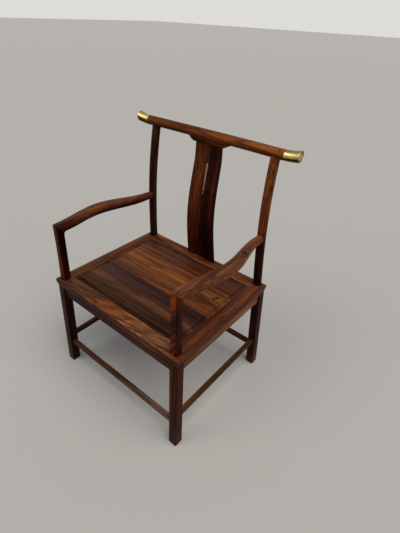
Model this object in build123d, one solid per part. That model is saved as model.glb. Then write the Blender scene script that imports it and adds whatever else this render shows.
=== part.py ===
from build123d import *
from math import pi, sin, sqrt
import os

# Official hat chair: a mitred frame-and-panel seat on four splayed legs. Each leg is one timber with
# the post above it, which carries an arm in front and the capped crest rail behind.
# Millimetres, +Z up, the front faces -Y. The model is laid out about the middle of the seat and moved
# to the middle of its own footprint when it is written.

# Seat frame
seat_height = 435.0
seat_width = 630.0
seat_depth = 518.0
front_rail_width = 52.0
rear_rail_width = 54.0
side_rail_width = 50.0
rail_thickness = 33.0
rail_edge_round = 5.0
rail_lip_height = 14.0
rail_undercut = 3.0
mitre_tenon_width = 13.0
mitre_tenon_height = 12.0
mitre_tenon_inset = 4.0
mitre_tenon_stop = 9.0

# Seat panel
panel_thickness = 14.0
panel_shoulder_width = 15.0
panel_shoulder_depth = 5.0
panel_field_round = 2.0
panel_tongue_thickness = 6.0
panel_tongue_depth = 8.0
board_joints = (-45.0, 37.0, 130.0)
board_tongue_thickness = 3.0
board_tongue_depth = 5.0
board_tongue_lift = 4.5

# Battens under the panel
batten_spacing = 260.0
batten_width = 34.0
batten_height = 13.0
batten_neck_width = 24.0
batten_flare_width = 30.0
batten_flare_height = 4.0
batten_tenon_width = 22.0
batten_tenon_height = 8.0
batten_tenon_length = 10.0

# Legs below the seat frame
leg_foot_side = 34.5
leg_top_side = 34.0
leg_corner = 3.0
leg_splay_x = 10.5
leg_splay_y = 16.0
neck_diameter = 22.0

# Front arm posts
front_post_side = 30.0
front_post_waist = 28.5
front_post_corner = 6.0
front_post_edge_x = 12.8
front_post_edge_y = 10.8
front_post_lean_x = 4.2
front_post_face_lean = 8.2

# Rear posts
rear_post_diameter = 33.0
rear_post_edge_x = 14.3
rear_post_edge_y = 2.8
rear_post_lean_x = 16.3
rear_post_hollow = 6.8
rear_post_hollow_height = 205.0
rear_post_rake = 29.0
post_spigot_diameter = 16.0
post_spigot_length = 18.0

# Arms
arm_front_height = 216.0
arm_drop = 9.5
arm_front_width = 30.0
arm_front_depth = 30.0
arm_rear_width = 27.0
arm_rear_depth = 29.0
arm_swell_width = 15.0
arm_swell_depth = 11.5
arm_bow = 33.0
arm_tenon_diameter = 14.0
arm_tenon_length = 12.0
arm_stations = (0, 0.12, 0.26, 0.42, 0.58, 0.73, 0.87, 1)
elbow_tenon_side = 12.0
elbow_tenon_length = 10.0
elbow_radius = 12.0
elbow_web_width = 18.0

# Crest rail
crest_height = 505.0
crest_diameter = 35.0
crest_overhang = 87.6
crest_bow = 5.0
crest_tip_rise = 7.5
crest_tip_reach = 62.0
crest_block_flat = 123.0
crest_block_spread = 194.0
crest_block_drop = 12.5
crest_block_edge = 5.0

# Brass caps
cap_length = 53.0
cap_wall = 1.8
cap_end_flare = 3.5
cap_end_chamfer = 1.2

# Back splat
splat_foot_setback = 26.7
splat_head_lead = 12.6
splat_bow = 24.0
splat_foot_width = 136.4
splat_head_width = 114.0
splat_thickness = 14.0
splat_hollow = 6.5
splat_tenon_width = 84.0
splat_tenon_thickness = 7.0
splat_tenon_length = 12.0

# Metal inlay in the splat
inlay_top = 410.0
inlay_length = 109.0
inlay_top_width = 8.0
inlay_foot_width = 4.0
inlay_depth = 2.0
inlay_dot_diameter = 5.0
inlay_dot_drop = 8.0

# Aprons
apron_height = 42.0
apron_thickness = 16.0
apron_recess = 6.0
apron_tenon_thickness = 7.0
apron_tenon_length = 9.0
apron_tenon_margin = 6.0
bracket_radius = 11.0
bracket_nib = 1.5

# Stretchers
stretcher_side = 18.0
stretcher_corner = 2.0
front_stretcher_top = 115.0
side_stretcher_top = 147.0
stretcher_tenon_side = 10.0
stretcher_tenon_length = 14.0

fit = 0.15
inlay_fit = 0.05

frame_underside = seat_height - rail_thickness
half_width = seat_width / 2
half_depth = seat_depth / 2
opening_x = half_width - side_rail_width
opening_front = -half_depth + front_rail_width
opening_rear = half_depth - rear_rail_width
shoulder_top = seat_height - panel_shoulder_depth
tongue_underside = shoulder_top - panel_tongue_thickness
panel_underside = seat_height - panel_thickness
crest_axis = seat_height + crest_height
crest_radius = crest_diameter / 2
crest_half = half_width - rear_post_edge_x - rear_post_diameter / 2 - rear_post_lean_x + crest_overhang
splat_height = crest_height - crest_radius - crest_block_drop
arm_axis = seat_height + arm_front_height


def box_between(low, high):
    size = [b - a for a, b in zip(low, high)]
    middle = [(a + b) / 2 for a, b in zip(low, high)]
    return Pos(*middle) * Box(*size)


def upright_prism(outline, low, high):
    """A prism from z = low to z = high over a closed outline of (x, y) points."""
    return extrude(Pos(0, 0, low) * make_face(Polyline(*outline, close=True)), high - low)


def round_bar(path, radius):
    return sweep(Plane(origin=path @ 0, z_dir=path % 0) * Circle(radius), path=path)


def mirrored(solid):
    return solid.mirror(Plane.YZ)


# ---------------------------------------------------------------- legs and posts


def leg_center(z, side_y):
    """Centre of a right-hand leg at height z; side_y is -1 in front and +1 behind."""
    top_x = half_width - rail_undercut - leg_top_side / 2
    top_y = half_depth - rail_undercut - leg_top_side / 2
    share = 1 - z / frame_underside
    return top_x + leg_splay_x * share, side_y * (top_y + leg_splay_y * share)


def leg_side(z):
    return leg_foot_side + (leg_top_side - leg_foot_side) * z / frame_underside


def leg_inner(z):
    """How far the legs' inner faces are from the chair's middle, across and front to back."""
    x, y = leg_center(z, 1)
    return x - leg_side(z) / 2, y - leg_side(z) / 2


def leg_section(z, side_y):
    x, y = leg_center(z, side_y)
    return Pos(x, y, z) * RectangleRounded(leg_side(z), leg_side(z), leg_corner)


def lower_leg(side_y):
    return loft([leg_section(0, side_y), leg_section(frame_underside, side_y)], ruled=True)


def front_post_base():
    x = half_width - front_post_edge_x - front_post_side / 2
    y = -half_depth + front_post_edge_y + front_post_side / 2
    return x, y


def rear_post_base():
    x = half_width - rear_post_edge_x - rear_post_diameter / 2
    y = half_depth - rear_post_edge_y - rear_post_diameter / 2
    return x, y


def neck(side_y, clearance=0.0):
    """The round neck that passes through the corner of the frame, midway between leg and post."""
    leg_x, leg_y = leg_center(frame_underside, side_y)
    post_x, post_y = front_post_base() if side_y < 0 else rear_post_base()
    radius = neck_diameter / 2 + clearance
    bar = Cylinder(radius, rail_thickness, align=(Align.CENTER, Align.CENTER, Align.MIN))
    return Pos((leg_x + post_x) / 2, (leg_y + post_y) / 2, frame_underside) * bar


def arm_front_face():
    """Y of the front face at the top of the arm post."""
    return -half_depth + front_post_edge_y + front_post_face_lean


def rear_post_center(z):
    """Centre of the right rear post: it leans in, hollows forward, then rakes back to the crest."""
    base_x, base_y = rear_post_base()
    share = min((z - seat_height) / crest_height, 1)
    x = base_x - rear_post_lean_x * (1 - (1 - share) ** 1.45)
    above = z - seat_height - rear_post_hollow_height
    if above < 0:
        y = base_y - rear_post_hollow + rear_post_hollow * (above / rear_post_hollow_height) ** 2
    else:
        reach = crest_height - rear_post_hollow_height
        y = base_y - rear_post_hollow + rear_post_rake * (above / reach) ** 2
    return x, y


def arm_front_x():
    """X of the middle of the arm post at its top."""
    return front_post_base()[0] - front_post_lean_x


def front_post():
    base_x, base_y = front_post_base()
    top = arm_axis + arm_front_depth / 2
    base = Pos(base_x, base_y, seat_height) * RectangleRounded(
        front_post_side, front_post_side, front_post_corner
    )
    waist_height = seat_height + arm_front_height * 0.7
    waist_x = base_x + (arm_front_x() - base_x) * 0.8
    waist_face = base_y - front_post_side / 2 + front_post_face_lean * 0.75
    waist = Pos(waist_x, waist_face + front_post_waist / 2, waist_height) * RectangleRounded(
        front_post_waist, front_post_waist, front_post_corner
    )
    head_y = arm_front_face() + front_post_waist / 2
    head = Pos(arm_front_x(), head_y, top) * RectangleRounded(
        arm_front_width, front_post_waist, front_post_corner
    )
    return loft([base, waist, head])


def mitre_plane():
    """The plane of the mitre between post and arm, facing the arm."""
    top = arm_axis + arm_front_depth / 2
    origin = (0, arm_front_face(), top)
    return Plane(origin=origin, x_dir=(1, 0, 0), z_dir=(0, arm_front_depth, front_post_waist))


def elbow_tenon(clearance=0.0):
    side = elbow_tenon_side + 2 * clearance
    y = arm_front_face() + front_post_waist / 2
    tenon = Box(side, side, elbow_tenon_length + clearance, align=(Align.CENTER, Align.CENTER, Align.MIN))
    return Pos(arm_front_x(), y, arm_axis - elbow_tenon_side / 2) * tenon


def elbow_web():
    """The hollow that eases the inner corner between post and arm."""
    y = arm_front_face() + front_post_waist - 0.5
    z = arm_axis - arm_front_depth / 2 + 0.5
    hollow = Line((y, z - elbow_radius), (y - 2, z - elbow_radius))
    arc = RadiusArc((y + elbow_radius, z), (y, z - elbow_radius), elbow_radius)
    rest = Polyline((y - 2, z - elbow_radius), (y - 2, z + 2), (y + elbow_radius, z + 2), (y + elbow_radius, z))
    plane = Plane(origin=(arm_front_x() - elbow_web_width / 2, 0, 0), x_dir=(0, 1, 0), z_dir=(1, 0, 0))
    return extrude(plane * make_face(Curve() + [arc, hollow, rest]), elbow_web_width)


def front_leg():
    post = split(front_post() + elbow_web(), bisect_by=mitre_plane(), keep=Keep.BOTTOM)
    leg = lower_leg(-1) + neck(-1) + post + elbow_tenon()
    return cut_leg_mortises(leg, -1)


def rear_post_arcs():
    """The post's two arcs, started a little below the seat and joined at the hollow."""
    hollow = seat_height + rear_post_hollow_height
    low, middle, high = [
        (*rear_post_center(z), z) for z in (seat_height - fit, (seat_height + hollow) / 2, hollow)
    ]
    lower = ThreePointArc(low, middle, high)
    upper = TangentArc(high, (*rear_post_center(crest_axis), crest_axis), tangent=lower % 1)
    return lower, upper


def rear_post_point(z):
    """Where the post's arcs pass height z."""
    lower, upper = rear_post_arcs()
    hollow = seat_height + rear_post_hollow_height
    if z < hollow:
        return lower @ ((z - seat_height) / rear_post_hollow_height)
    return upper @ ((z - hollow) / (crest_axis - hollow))


def rear_post():
    """The post from the seat to the underside of the crest rail, coped round it."""
    lower, upper = rear_post_arcs()
    post = round_bar(lower, rear_post_diameter / 2) + round_bar(upper, rear_post_diameter / 2)
    above_seat = box_between((0, 0, seat_height), (seat_width, seat_depth, crest_axis))
    return (post & above_seat) - crest_bar(crest_radius + fit, crest_half)


def post_spigot(clearance=0.0):
    x, y = rear_post_center(crest_axis)
    length = crest_radius + post_spigot_length / 2 + clearance
    bar = Cylinder(post_spigot_diameter / 2 + clearance, length, align=(Align.CENTER, Align.CENTER, Align.MAX))
    return Pos(x, y, crest_axis + post_spigot_length / 2 - crest_radius / 2 + clearance) * bar


def rear_leg():
    leg = lower_leg(1) + neck(1) + rear_post() + post_spigot()
    leg -= arm_tenon(fit)
    return cut_leg_mortises(leg, 1)


def cut_leg_mortises(leg, side_y):
    """Cut the mortises of the two aprons and the two stretchers that meet a right-hand leg."""
    leg -= apron_tenon_x(side_y, fit)
    leg -= apron_tenon_y(side_y, fit)
    leg -= stretcher_tenon_x(side_y, fit)
    leg -= stretcher_tenon_y(side_y, fit)
    return leg


# ---------------------------------------------------------------- arms


def arm_rear_point():
    return rear_post_center(arm_axis - arm_drop)


def arm_section(share):
    """Cross-section of the right arm, share 0 at its front face and 1 at the middle of the rear post."""
    rear_x, rear_y = arm_rear_point()
    y = arm_front_face() + (rear_y - arm_front_face()) * share
    bow = arm_bow * sin(pi * min(share / 0.93, 1)) ** 2
    x = arm_front_x() + (rear_x - arm_front_x()) * share + bow
    fall = min(max((share - 0.3) / 0.55, 0), 1)
    z = arm_axis - arm_drop * fall * fall * (3 - 2 * fall)
    swell = sin(pi * min(share / 0.95, 1))
    width = arm_front_width + (arm_rear_width - arm_front_width) * share + arm_swell_width * swell
    depth = arm_front_depth + (arm_rear_depth - arm_front_depth) * share + arm_swell_depth * swell
    roundness = front_post_corner + (0.44 * min(width, depth) - front_post_corner) * min(share / 0.3, 1)
    plane = Plane(origin=(x, y, z), x_dir=(1, 0, 0), z_dir=(0, 1, 0))
    return plane * RectangleRounded(width, depth, roundness)


def arm_tenon(clearance=0.0):
    x, y = arm_rear_point()
    reach = arm_tenon_length + clearance
    plane = Plane(origin=(x, y - rear_post_diameter / 2 - 2, arm_axis - arm_drop), z_dir=(0, 1, 0))
    bar = Cylinder(arm_tenon_diameter / 2 + clearance, reach + 2, align=(Align.CENTER, Align.CENTER, Align.MIN))
    return plane.location * bar


def arm_cope():
    """The short, nearly straight stretch of the rear post that the arm's end fits round."""
    z = arm_axis - arm_drop
    half = 0.6 * arm_rear_depth
    low, high = [rear_post_point(z + step) for step in (-half, half)]
    plane = Plane(origin=low, z_dir=high - low)
    radius = rear_post_diameter / 2 + fit
    return plane.location * Cylinder(radius, 2 * half, align=(Align.CENTER, Align.CENTER, Align.MIN))


def arm():
    bar = loft([arm_section(share) for share in arm_stations])
    bar = split(bar + elbow_web(), bisect_by=mitre_plane(), keep=Keep.TOP)
    bar = max((bar - arm_cope()).solids(), key=lambda solid: solid.volume)
    return bar + arm_tenon() - elbow_tenon(fit)


# ---------------------------------------------------------------- seat frame


def rail_profile():
    """Section of a rail: distance in from the outer edge, then height."""
    top = seat_height
    lip_foot = seat_height - rail_lip_height
    inner = max(front_rail_width, rear_rail_width, side_rail_width)
    round_corner = RadiusArc((rail_edge_round, top), (0, top - rail_edge_round), rail_edge_round, short_sagitta=True)
    lip = Line(round_corner @ 1, (0, lip_foot))
    cove = Spline((0, lip_foot), (rail_undercut, frame_underside), tangents=((0.2, -1), (0.02, -1)))
    rest = Polyline((rail_undercut, frame_underside), (inner, frame_underside), (inner, top), (rail_edge_round, top))
    return make_face(Curve() + [round_corner, lip, cove, rest])


def rail_along_x(side_y):
    """Front (side_y -1) or rear (+1) rail with its edge profile, mitred at both ends."""
    start = (side_y * half_width, side_y * half_depth, 0)
    plane = Plane(origin=start, x_dir=(0, -side_y, 0), z_dir=(-side_y, 0, 0))
    bar = extrude(plane * rail_profile(), seat_width)
    width = front_rail_width if side_y < 0 else rear_rail_width
    inner = side_y * (half_depth - width)
    outer = side_y * half_depth
    outline = ((-half_width, outer), (half_width, outer), (opening_x, inner), (-opening_x, inner))
    return bar & upright_prism(outline, frame_underside, seat_height)


def rail_along_y():
    """Right-hand rail with its edge profile, mitred at both ends."""
    plane = Plane(origin=(half_width, -half_depth, 0), x_dir=(-1, 0, 0), z_dir=(0, 1, 0))
    bar = extrude(plane * rail_profile(), seat_depth)
    outline = (
        (half_width, -half_depth),
        (half_width, half_depth),
        (opening_x, opening_rear),
        (opening_x, opening_front),
    )
    return bar & upright_prism(outline, frame_underside, seat_height)


def mitre_tenon(side_y, clearance=0.0):
    """Stub tenon of the front or rear rail that enters the right-hand rail."""
    inner = half_depth - (front_rail_width if side_y < 0 else rear_rail_width)
    near = inner + mitre_tenon_inset - clearance
    far = near + mitre_tenon_width + 2 * clearance
    low = frame_underside + mitre_tenon_inset - clearance
    high = low + mitre_tenon_height + 2 * clearance
    end = half_width - mitre_tenon_stop + clearance
    y_low, y_high = sorted((side_y * near, side_y * far))
    return box_between((opening_x - side_rail_width / 3, y_low, low), (end, y_high, high))


def panel_groove():
    """The groove round the opening that holds the panel's tongue."""
    reach = panel_tongue_depth
    low = (-opening_x - reach, opening_front - reach, tongue_underside)
    high = (opening_x + reach, opening_rear + reach, shoulder_top)
    return box_between(low, high)


def both_sides(solid):
    return solid + mirrored(solid)


def seat_rail_front():
    rail = rail_along_x(-1) + both_sides(mitre_tenon(-1))
    rail -= both_sides(neck(-1, fit))
    rail -= panel_groove()
    return rail - both_sides(batten_tenons(fit))


def seat_rail_rear():
    rail = rail_along_x(1) + both_sides(mitre_tenon(1))
    rail -= both_sides(neck(1, fit))
    rail -= panel_groove()
    rail -= both_sides(batten_tenons(fit))
    return rail - splat_foot_tenon(fit)


def seat_rail_right():
    rail = rail_along_y() - mitre_tenon(-1, fit) - mitre_tenon(1, fit)
    rail -= neck(-1, fit)
    rail -= neck(1, fit)
    return rail - panel_groove()


# ---------------------------------------------------------------- seat panel


def board_slab(front, rear):
    """One board: full thickness over the raised field, a thin tongue where it enters the frame."""
    tongue_reach = panel_tongue_depth - 2 * fit
    tongue_front = opening_front - tongue_reach if front <= opening_front else front
    tongue_rear = opening_rear + tongue_reach if rear >= opening_rear else rear
    slab = box_between(
        (-opening_x - tongue_reach, tongue_front, tongue_underside + fit),
        (opening_x + tongue_reach, tongue_rear, shoulder_top - fit),
    )
    slab += box_between(
        (-opening_x + fit, max(front, opening_front + fit), panel_underside),
        (opening_x - fit, min(rear, opening_rear - fit), shoulder_top - fit),
    )
    return slab + board_field(front, rear)


def board_field(front, rear):
    """The part of the raised field that lies on this board, with its rounded edge."""
    edge_x = opening_x - panel_shoulder_width
    low = (-edge_x, opening_front + panel_shoulder_width, panel_underside)
    high = (edge_x, opening_rear - panel_shoulder_width, seat_height)
    field = box_between(low, high)
    field = fillet(field.faces().sort_by(Axis.Z)[-1].edges(), panel_field_round)
    return field & box_between((-seat_width, front, panel_underside), (seat_width, rear, seat_height))


def board_tongue(y, clearance=0.0):
    """Tongue on the rear edge of a board, entering the board behind it."""
    low = panel_underside + board_tongue_lift - clearance
    high = low + board_tongue_thickness + 2 * clearance
    edge_x = opening_x - fit + clearance
    return box_between((-edge_x, y - 1, low), (edge_x, y + board_tongue_depth + clearance, high))


def seat_board(front, rear):
    board = board_slab(front, rear)
    if front > opening_front:
        board -= board_tongue(front, fit)
    if rear < opening_rear:
        board += board_tongue(rear)
    return board - both_sides(batten_dovetail(fit))


# ---------------------------------------------------------------- battens


def batten_dovetail(clearance=0.0):
    """The flared top of the right batten, which slides in the boards' dovetail slots."""
    x = batten_spacing / 2
    neck_half = batten_neck_width / 2 + clearance
    flare_half = batten_flare_width / 2 + clearance
    low = panel_underside - 1
    high = panel_underside + batten_flare_height + clearance
    outline = ((x - neck_half, low), (x + neck_half, low), (x + flare_half, high), (x - flare_half, high))
    face = Plane(origin=(0, opening_front + fit, 0), x_dir=(1, 0, 0), z_dir=(0, -1, 0)) * make_face(
        Polyline(*outline, close=True)
    )
    return extrude(face, -(opening_rear - opening_front - 2 * fit))


def batten_tenons(clearance=0.0):
    """The two end tenons of the right batten, as one bar through the batten."""
    x = batten_spacing / 2
    half = batten_tenon_width / 2 + clearance
    middle = panel_underside - batten_height / 2
    rise = batten_tenon_height / 2 + clearance
    reach = batten_tenon_length + clearance
    return box_between(
        (x - half, opening_front - reach, middle - rise),
        (x + half, opening_rear + reach, middle + rise),
    )


def seat_batten():
    x = batten_spacing / 2
    bar = box_between(
        (x - batten_width / 2, opening_front, panel_underside - batten_height),
        (x + batten_width / 2, opening_rear, panel_underside),
    )
    return bar + batten_dovetail() + batten_tenons()


# ---------------------------------------------------------------- aprons


def apron_face_y():
    return half_depth - rail_undercut - apron_recess


def apron_face_x():
    return half_width - rail_undercut - apron_recess


def apron_tenon_x(side_y, clearance=0.0):
    """Right-hand tenon of the front or rear apron."""
    x, _ = leg_center(frame_underside, side_y)
    inner = x - leg_top_side / 2
    middle = apron_face_y() - apron_thickness / 2
    half = apron_tenon_thickness / 2 + clearance
    low = frame_underside - apron_height + apron_tenon_margin - clearance
    high = frame_underside - apron_tenon_margin + clearance
    y_low, y_high = sorted((side_y * (middle - half), side_y * (middle + half)))
    return box_between((inner - 4, y_low, low), (inner + apron_tenon_length + clearance, y_high, high))


def apron_tenon_y(side_y, clearance=0.0):
    """Tenon of the right-hand apron that enters the front or rear leg."""
    _, y = leg_center(frame_underside, side_y)
    inner = abs(y) - leg_top_side / 2
    middle = apron_face_x() - apron_thickness / 2
    half = apron_tenon_thickness / 2 + clearance
    low = frame_underside - apron_height + apron_tenon_margin - clearance
    high = frame_underside - apron_tenon_margin + clearance
    y_low, y_high = sorted((side_y * (inner - 4), side_y * (inner + apron_tenon_length + clearance)))
    return box_between((middle - half, y_low, low), (middle + half, y_high, high))


def across_plane(y):
    """Plane for outlines drawn in X and Z, extruded towards the back."""
    return Plane(origin=(0, y, 0), x_dir=(1, 0, 0), z_dir=(0, -1, 0))


def along_plane(x):
    """Plane for outlines drawn in Y and Z, extruded towards the right."""
    return Plane(origin=(x, 0, 0), x_dir=(0, 1, 0), z_dir=(1, 0, 0))


def span_outline(low, high, direction):
    """Face between two legs from height low to high; direction 0 runs across and 1 front to back."""
    high_half = leg_inner(high)[direction]
    low_half = leg_inner(low)[direction]
    return make_face(
        Polyline((-high_half, high), (high_half, high), (low_half, low), (-low_half, low), close=True)
    )


def apron_front():
    face = span_outline(frame_underside - apron_height, frame_underside, 0)
    board = extrude(across_plane(-apron_face_y()) * face, -apron_thickness)
    return board + both_sides(apron_tenon_x(-1))


def apron_rear():
    """Board with a small bracket at each end, hollowed by a quarter circle."""
    edge = frame_underside - apron_height
    low = edge - bracket_radius
    high_half = leg_inner(frame_underside)[0]
    low_half = leg_inner(low)[0]
    arc_x = low_half - bracket_nib
    arc_middle = bracket_radius * (1 - sqrt(0.5))
    top = Polyline((-arc_x, low), (-low_half, low), (-high_half, frame_underside), (high_half, frame_underside),
                   (low_half, low), (arc_x, low))
    right = ThreePointArc((arc_x, low), (arc_x - arc_middle, edge - arc_middle), (arc_x - bracket_radius, edge))
    left = ThreePointArc((bracket_radius - arc_x, edge), (arc_middle - arc_x, edge - arc_middle), (-arc_x, low))
    face = make_face(Curve() + [top, right, Line(right @ 1, left @ 0), left])
    board = extrude(across_plane(apron_face_y()) * face, apron_thickness)
    return board + both_sides(apron_tenon_x(1))


def apron_right():
    face = span_outline(frame_underside - apron_height, frame_underside, 1)
    board = extrude(along_plane(apron_face_x()) * face, -apron_thickness)
    return board + apron_tenon_y(-1) + apron_tenon_y(1)


# ---------------------------------------------------------------- stretchers


def stretcher_tenon_x(side_y, clearance=0.0):
    """Right-hand tenon of the front or rear stretcher."""
    z = front_stretcher_top - stretcher_side / 2
    x, y = leg_center(z, side_y)
    inner = x - leg_side(z) / 2
    half = stretcher_tenon_side / 2 + clearance
    end = inner + stretcher_tenon_length + clearance
    return box_between((inner - 4, y - half, z - half), (end, y + half, z + half))


def stretcher_tenon_y(side_y, clearance=0.0):
    """Tenon of the right-hand stretcher that enters the front or rear leg."""
    z = side_stretcher_top - stretcher_side / 2
    x, y = leg_center(z, side_y)
    inner = abs(y) - leg_side(z) / 2
    half = stretcher_tenon_side / 2 + clearance
    end = inner + stretcher_tenon_length + clearance
    y_low, y_high = sorted((side_y * (inner - 4), side_y * end))
    return box_between((x - half, y_low, z - half), (x + half, y_high, z + half))


def stretcher_across(side_y):
    face = span_outline(front_stretcher_top - stretcher_side, front_stretcher_top, 0)
    y = leg_center(front_stretcher_top - stretcher_side / 2, side_y)[1]
    bar = extrude(across_plane(y - stretcher_side / 2) * face, -stretcher_side)
    bar = fillet(bar.edges().filter_by(Axis.X), stretcher_corner)
    return bar + both_sides(stretcher_tenon_x(side_y))


def stretcher_right():
    face = span_outline(side_stretcher_top - stretcher_side, side_stretcher_top, 1)
    x = leg_center(side_stretcher_top - stretcher_side / 2, 1)[0]
    bar = extrude(along_plane(x - stretcher_side / 2) * face, stretcher_side)
    bar = fillet(bar.edges().filter_by(Axis.Y), stretcher_corner)
    return bar + stretcher_tenon_y(-1) + stretcher_tenon_y(1)


# ---------------------------------------------------------------- crest rail


def crest_center(x):
    """Y and Z of the crest rail's axis at x: bowed forward at the ends, with rising tips."""
    y = rear_post_center(crest_axis)[1] - crest_bow * (x / crest_half) ** 2
    past = max(abs(x) - crest_half + crest_tip_reach, 0) / crest_tip_reach
    return y, crest_axis + crest_tip_rise * past * past


def crest_arcs():
    """The axis of the crest rail: the long middle arc and the rising arc of the right tip."""
    tip_start = crest_half - crest_tip_reach
    tip_end = crest_half + crest_tip_rise
    middle = ThreePointArc(
        (-tip_start, *crest_center(tip_start)), (0, *crest_center(0)), (tip_start, *crest_center(tip_start))
    )
    return middle, TangentArc(middle @ 1, (tip_end, *crest_center(tip_end)), tangent=middle % 1)


def crest_bar(radius, reach):
    """Round bar along the crest, cut square to X at -reach and +reach."""
    middle, tip = crest_arcs()
    bar = round_bar(middle, radius) + both_sides(round_bar(tip, radius))
    return bar & box_between((-reach, 0, seat_height), (reach, seat_depth, crest_axis + crest_height))


def crest_tip(radius, x_from, x_to):
    """The stretch of the right tip from x_from to x_to."""
    bar = round_bar(crest_arcs()[1], radius)
    return bar & box_between((x_from, 0, seat_height), (x_to, seat_depth, crest_axis + crest_height))


def crest_tip_point(x):
    """Where the right tip's arc passes x, near enough for so flat an arc."""
    tip = crest_arcs()[1]
    start = (tip @ 0).X
    return tip @ ((x - start) / ((tip @ 1).X - start))


def crest_block():
    """The lowered middle of the crest rail, with an ogee at each end, that takes the splat."""
    flat = crest_block_flat / 2
    spread = crest_block_spread / 2
    low = crest_axis - crest_radius - crest_block_drop
    high = crest_axis - crest_radius * 0.97
    third = (spread - flat) / 2
    right = Bezier((flat, low), (flat + third, low), (spread - third, high), (spread, high))
    left = Bezier((-spread, high), (third - spread, high), (-flat - third, low), (-flat, low))
    rest = Polyline((spread, high), (spread, crest_axis), (-spread, crest_axis), (-spread, high))
    outline = make_face(Curve() + [Line((-flat, low), (flat, low)), right, rest, left])
    y, _ = crest_center(0)
    thickness = crest_diameter - 0.5
    block = extrude(Plane(origin=(0, y + thickness / 2, 0), x_dir=(1, 0, 0), z_dir=(0, -1, 0)) * outline, thickness)
    under = block.faces().filter_by(lambda face: face.center().Z < high and abs(face.normal_at().Y) < 0.5)
    edges = [edge for face in under for edge in face.edges() if abs((edge @ 0.5).Y - y) > thickness * 0.4]
    return fillet(edges, crest_block_edge)


def crest_rail():
    cap_start = crest_half - cap_length
    rail = crest_bar(crest_radius, cap_start) + crest_block()
    rail += both_sides(crest_tip(crest_radius - cap_wall - fit, cap_start - fit, crest_half - cap_wall - fit))
    rail -= both_sides(post_spigot(fit))
    return rail - splat_head_tenon(fit)


def cap_section(share):
    """Upright circle round the tip's axis, share 0 where the cap starts and 1 at its flared end."""
    x = crest_half - cap_length * (1 - share)
    _, y, z = crest_tip_point(x)
    return Plane(origin=(x, y, z), z_dir=(1, 0, 0)) * Circle(crest_radius + cap_end_flare / 2 * share ** 2)


def crest_cap():
    """Right-hand brass sleeve that flares to a closed end."""
    sleeve = loft([cap_section(share) for share in (0, 0.5, 1)])
    sleeve = chamfer(sleeve.faces().sort_by(Axis.X)[-1].edges(), cap_end_chamfer)
    return sleeve - crest_tip(crest_radius - cap_wall, crest_half - cap_length - 1, crest_half - cap_wall)


# ---------------------------------------------------------------- back splat


def splat_edge_y(share):
    """Y of the splat's front face at its side edges, share 0 at the seat and 1 under the crest block."""
    foot_y = half_depth - splat_foot_setback
    head_y = crest_center(0)[0] - splat_head_lead
    hollow = sin(pi * min(share / 0.89, 1)) ** 1.2
    return foot_y + (head_y - foot_y) * share - splat_bow * hollow


def splat_section(share):
    """Hollowed horizontal section of the splat."""
    half = (splat_foot_width + (splat_head_width - splat_foot_width) * share) / 2
    edge_y = splat_edge_y(share)
    back_y = edge_y + splat_thickness
    front = ThreePointArc((-half, edge_y), (0, edge_y + splat_hollow), (half, edge_y))
    back = ThreePointArc((half, back_y), (0, back_y + splat_hollow), (-half, back_y))
    sides = [Line((half, edge_y), (half, back_y)), Line((-half, back_y), (-half, edge_y))]
    height = seat_height + share * splat_height
    return Pos(0, 0, height) * make_face(Curve() + [front, sides[0], back, sides[1]])


def splat_tenon(low, high, share, clearance):
    """A straight tenon in the thickness of the hollowed board."""
    half = splat_tenon_width / 2 + clearance
    middle = splat_edge_y(share) + splat_hollow * 0.8 + splat_thickness / 2
    rise = splat_tenon_thickness / 2 + clearance
    return box_between((-half, middle - rise, low), (half, middle + rise, high))


def splat_foot_tenon(clearance=0.0):
    return splat_tenon(seat_height - splat_tenon_length - clearance, seat_height + 2, 0, clearance)


def splat_head_tenon(clearance=0.0):
    head = seat_height + splat_height
    return splat_tenon(head - 2, head + splat_tenon_length + clearance, 1, clearance)


def splat_board():
    return loft([splat_section(share) for share in (0, 0.12, 0.25, 0.38, 0.5, 0.62, 0.75, 0.88, 1)])


def set_into_splat(board, outline, clearance):
    """The part of an outline, drawn in X and Z, that is set into the front face of the splat."""
    plane = Plane(origin=(0, 0, 0), x_dir=(1, 0, 0), z_dir=(0, -1, 0))
    prism = extrude(plane * outline, -seat_depth)
    return (board & prism) - Pos(0, inlay_depth + clearance, 0) * board


def inlay_bar(board, clearance=0.0):
    """Tapered strip on the splat's centre line, round at its wider upper end."""
    head = inlay_top_width / 2 + clearance
    foot = inlay_foot_width / 2 + clearance
    top = seat_height + inlay_top - head
    low = seat_height + inlay_top - inlay_length - clearance
    outline = make_face(
        Curve()
        + [
            Polyline((-head, top), (-foot, low), (foot, low), (head, top)),
            ThreePointArc((head, top), (0, top + head), (-head, top)),
        ]
    )
    return set_into_splat(board, outline, clearance)


def inlay_dot(board, clearance=0.0):
    z = seat_height + inlay_top - inlay_length - inlay_dot_drop
    return set_into_splat(board, Pos(0, z) * Circle(inlay_dot_diameter / 2 + clearance), clearance)


def back_splat(board):
    splat = board + splat_foot_tenon() + splat_head_tenon()
    return splat - inlay_bar(board, inlay_fit) - inlay_dot(board, inlay_fit)


def write(name, solid):
    """Write one node, moved to the middle of the chair's footprint."""
    foot_front = leg_center(0, -1)[1] - leg_foot_side / 2
    crest_back = crest_center(0)[0] + crest_radius
    moved = Pos(0, -(foot_front + crest_back) / 2, 0) * solid
    export_step(moved, f"parts/{name}.step")


def write_pair(name, right_hand):
    write(f"{name}_right", right_hand)
    write(f"{name}_left", mirrored(right_hand))


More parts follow.
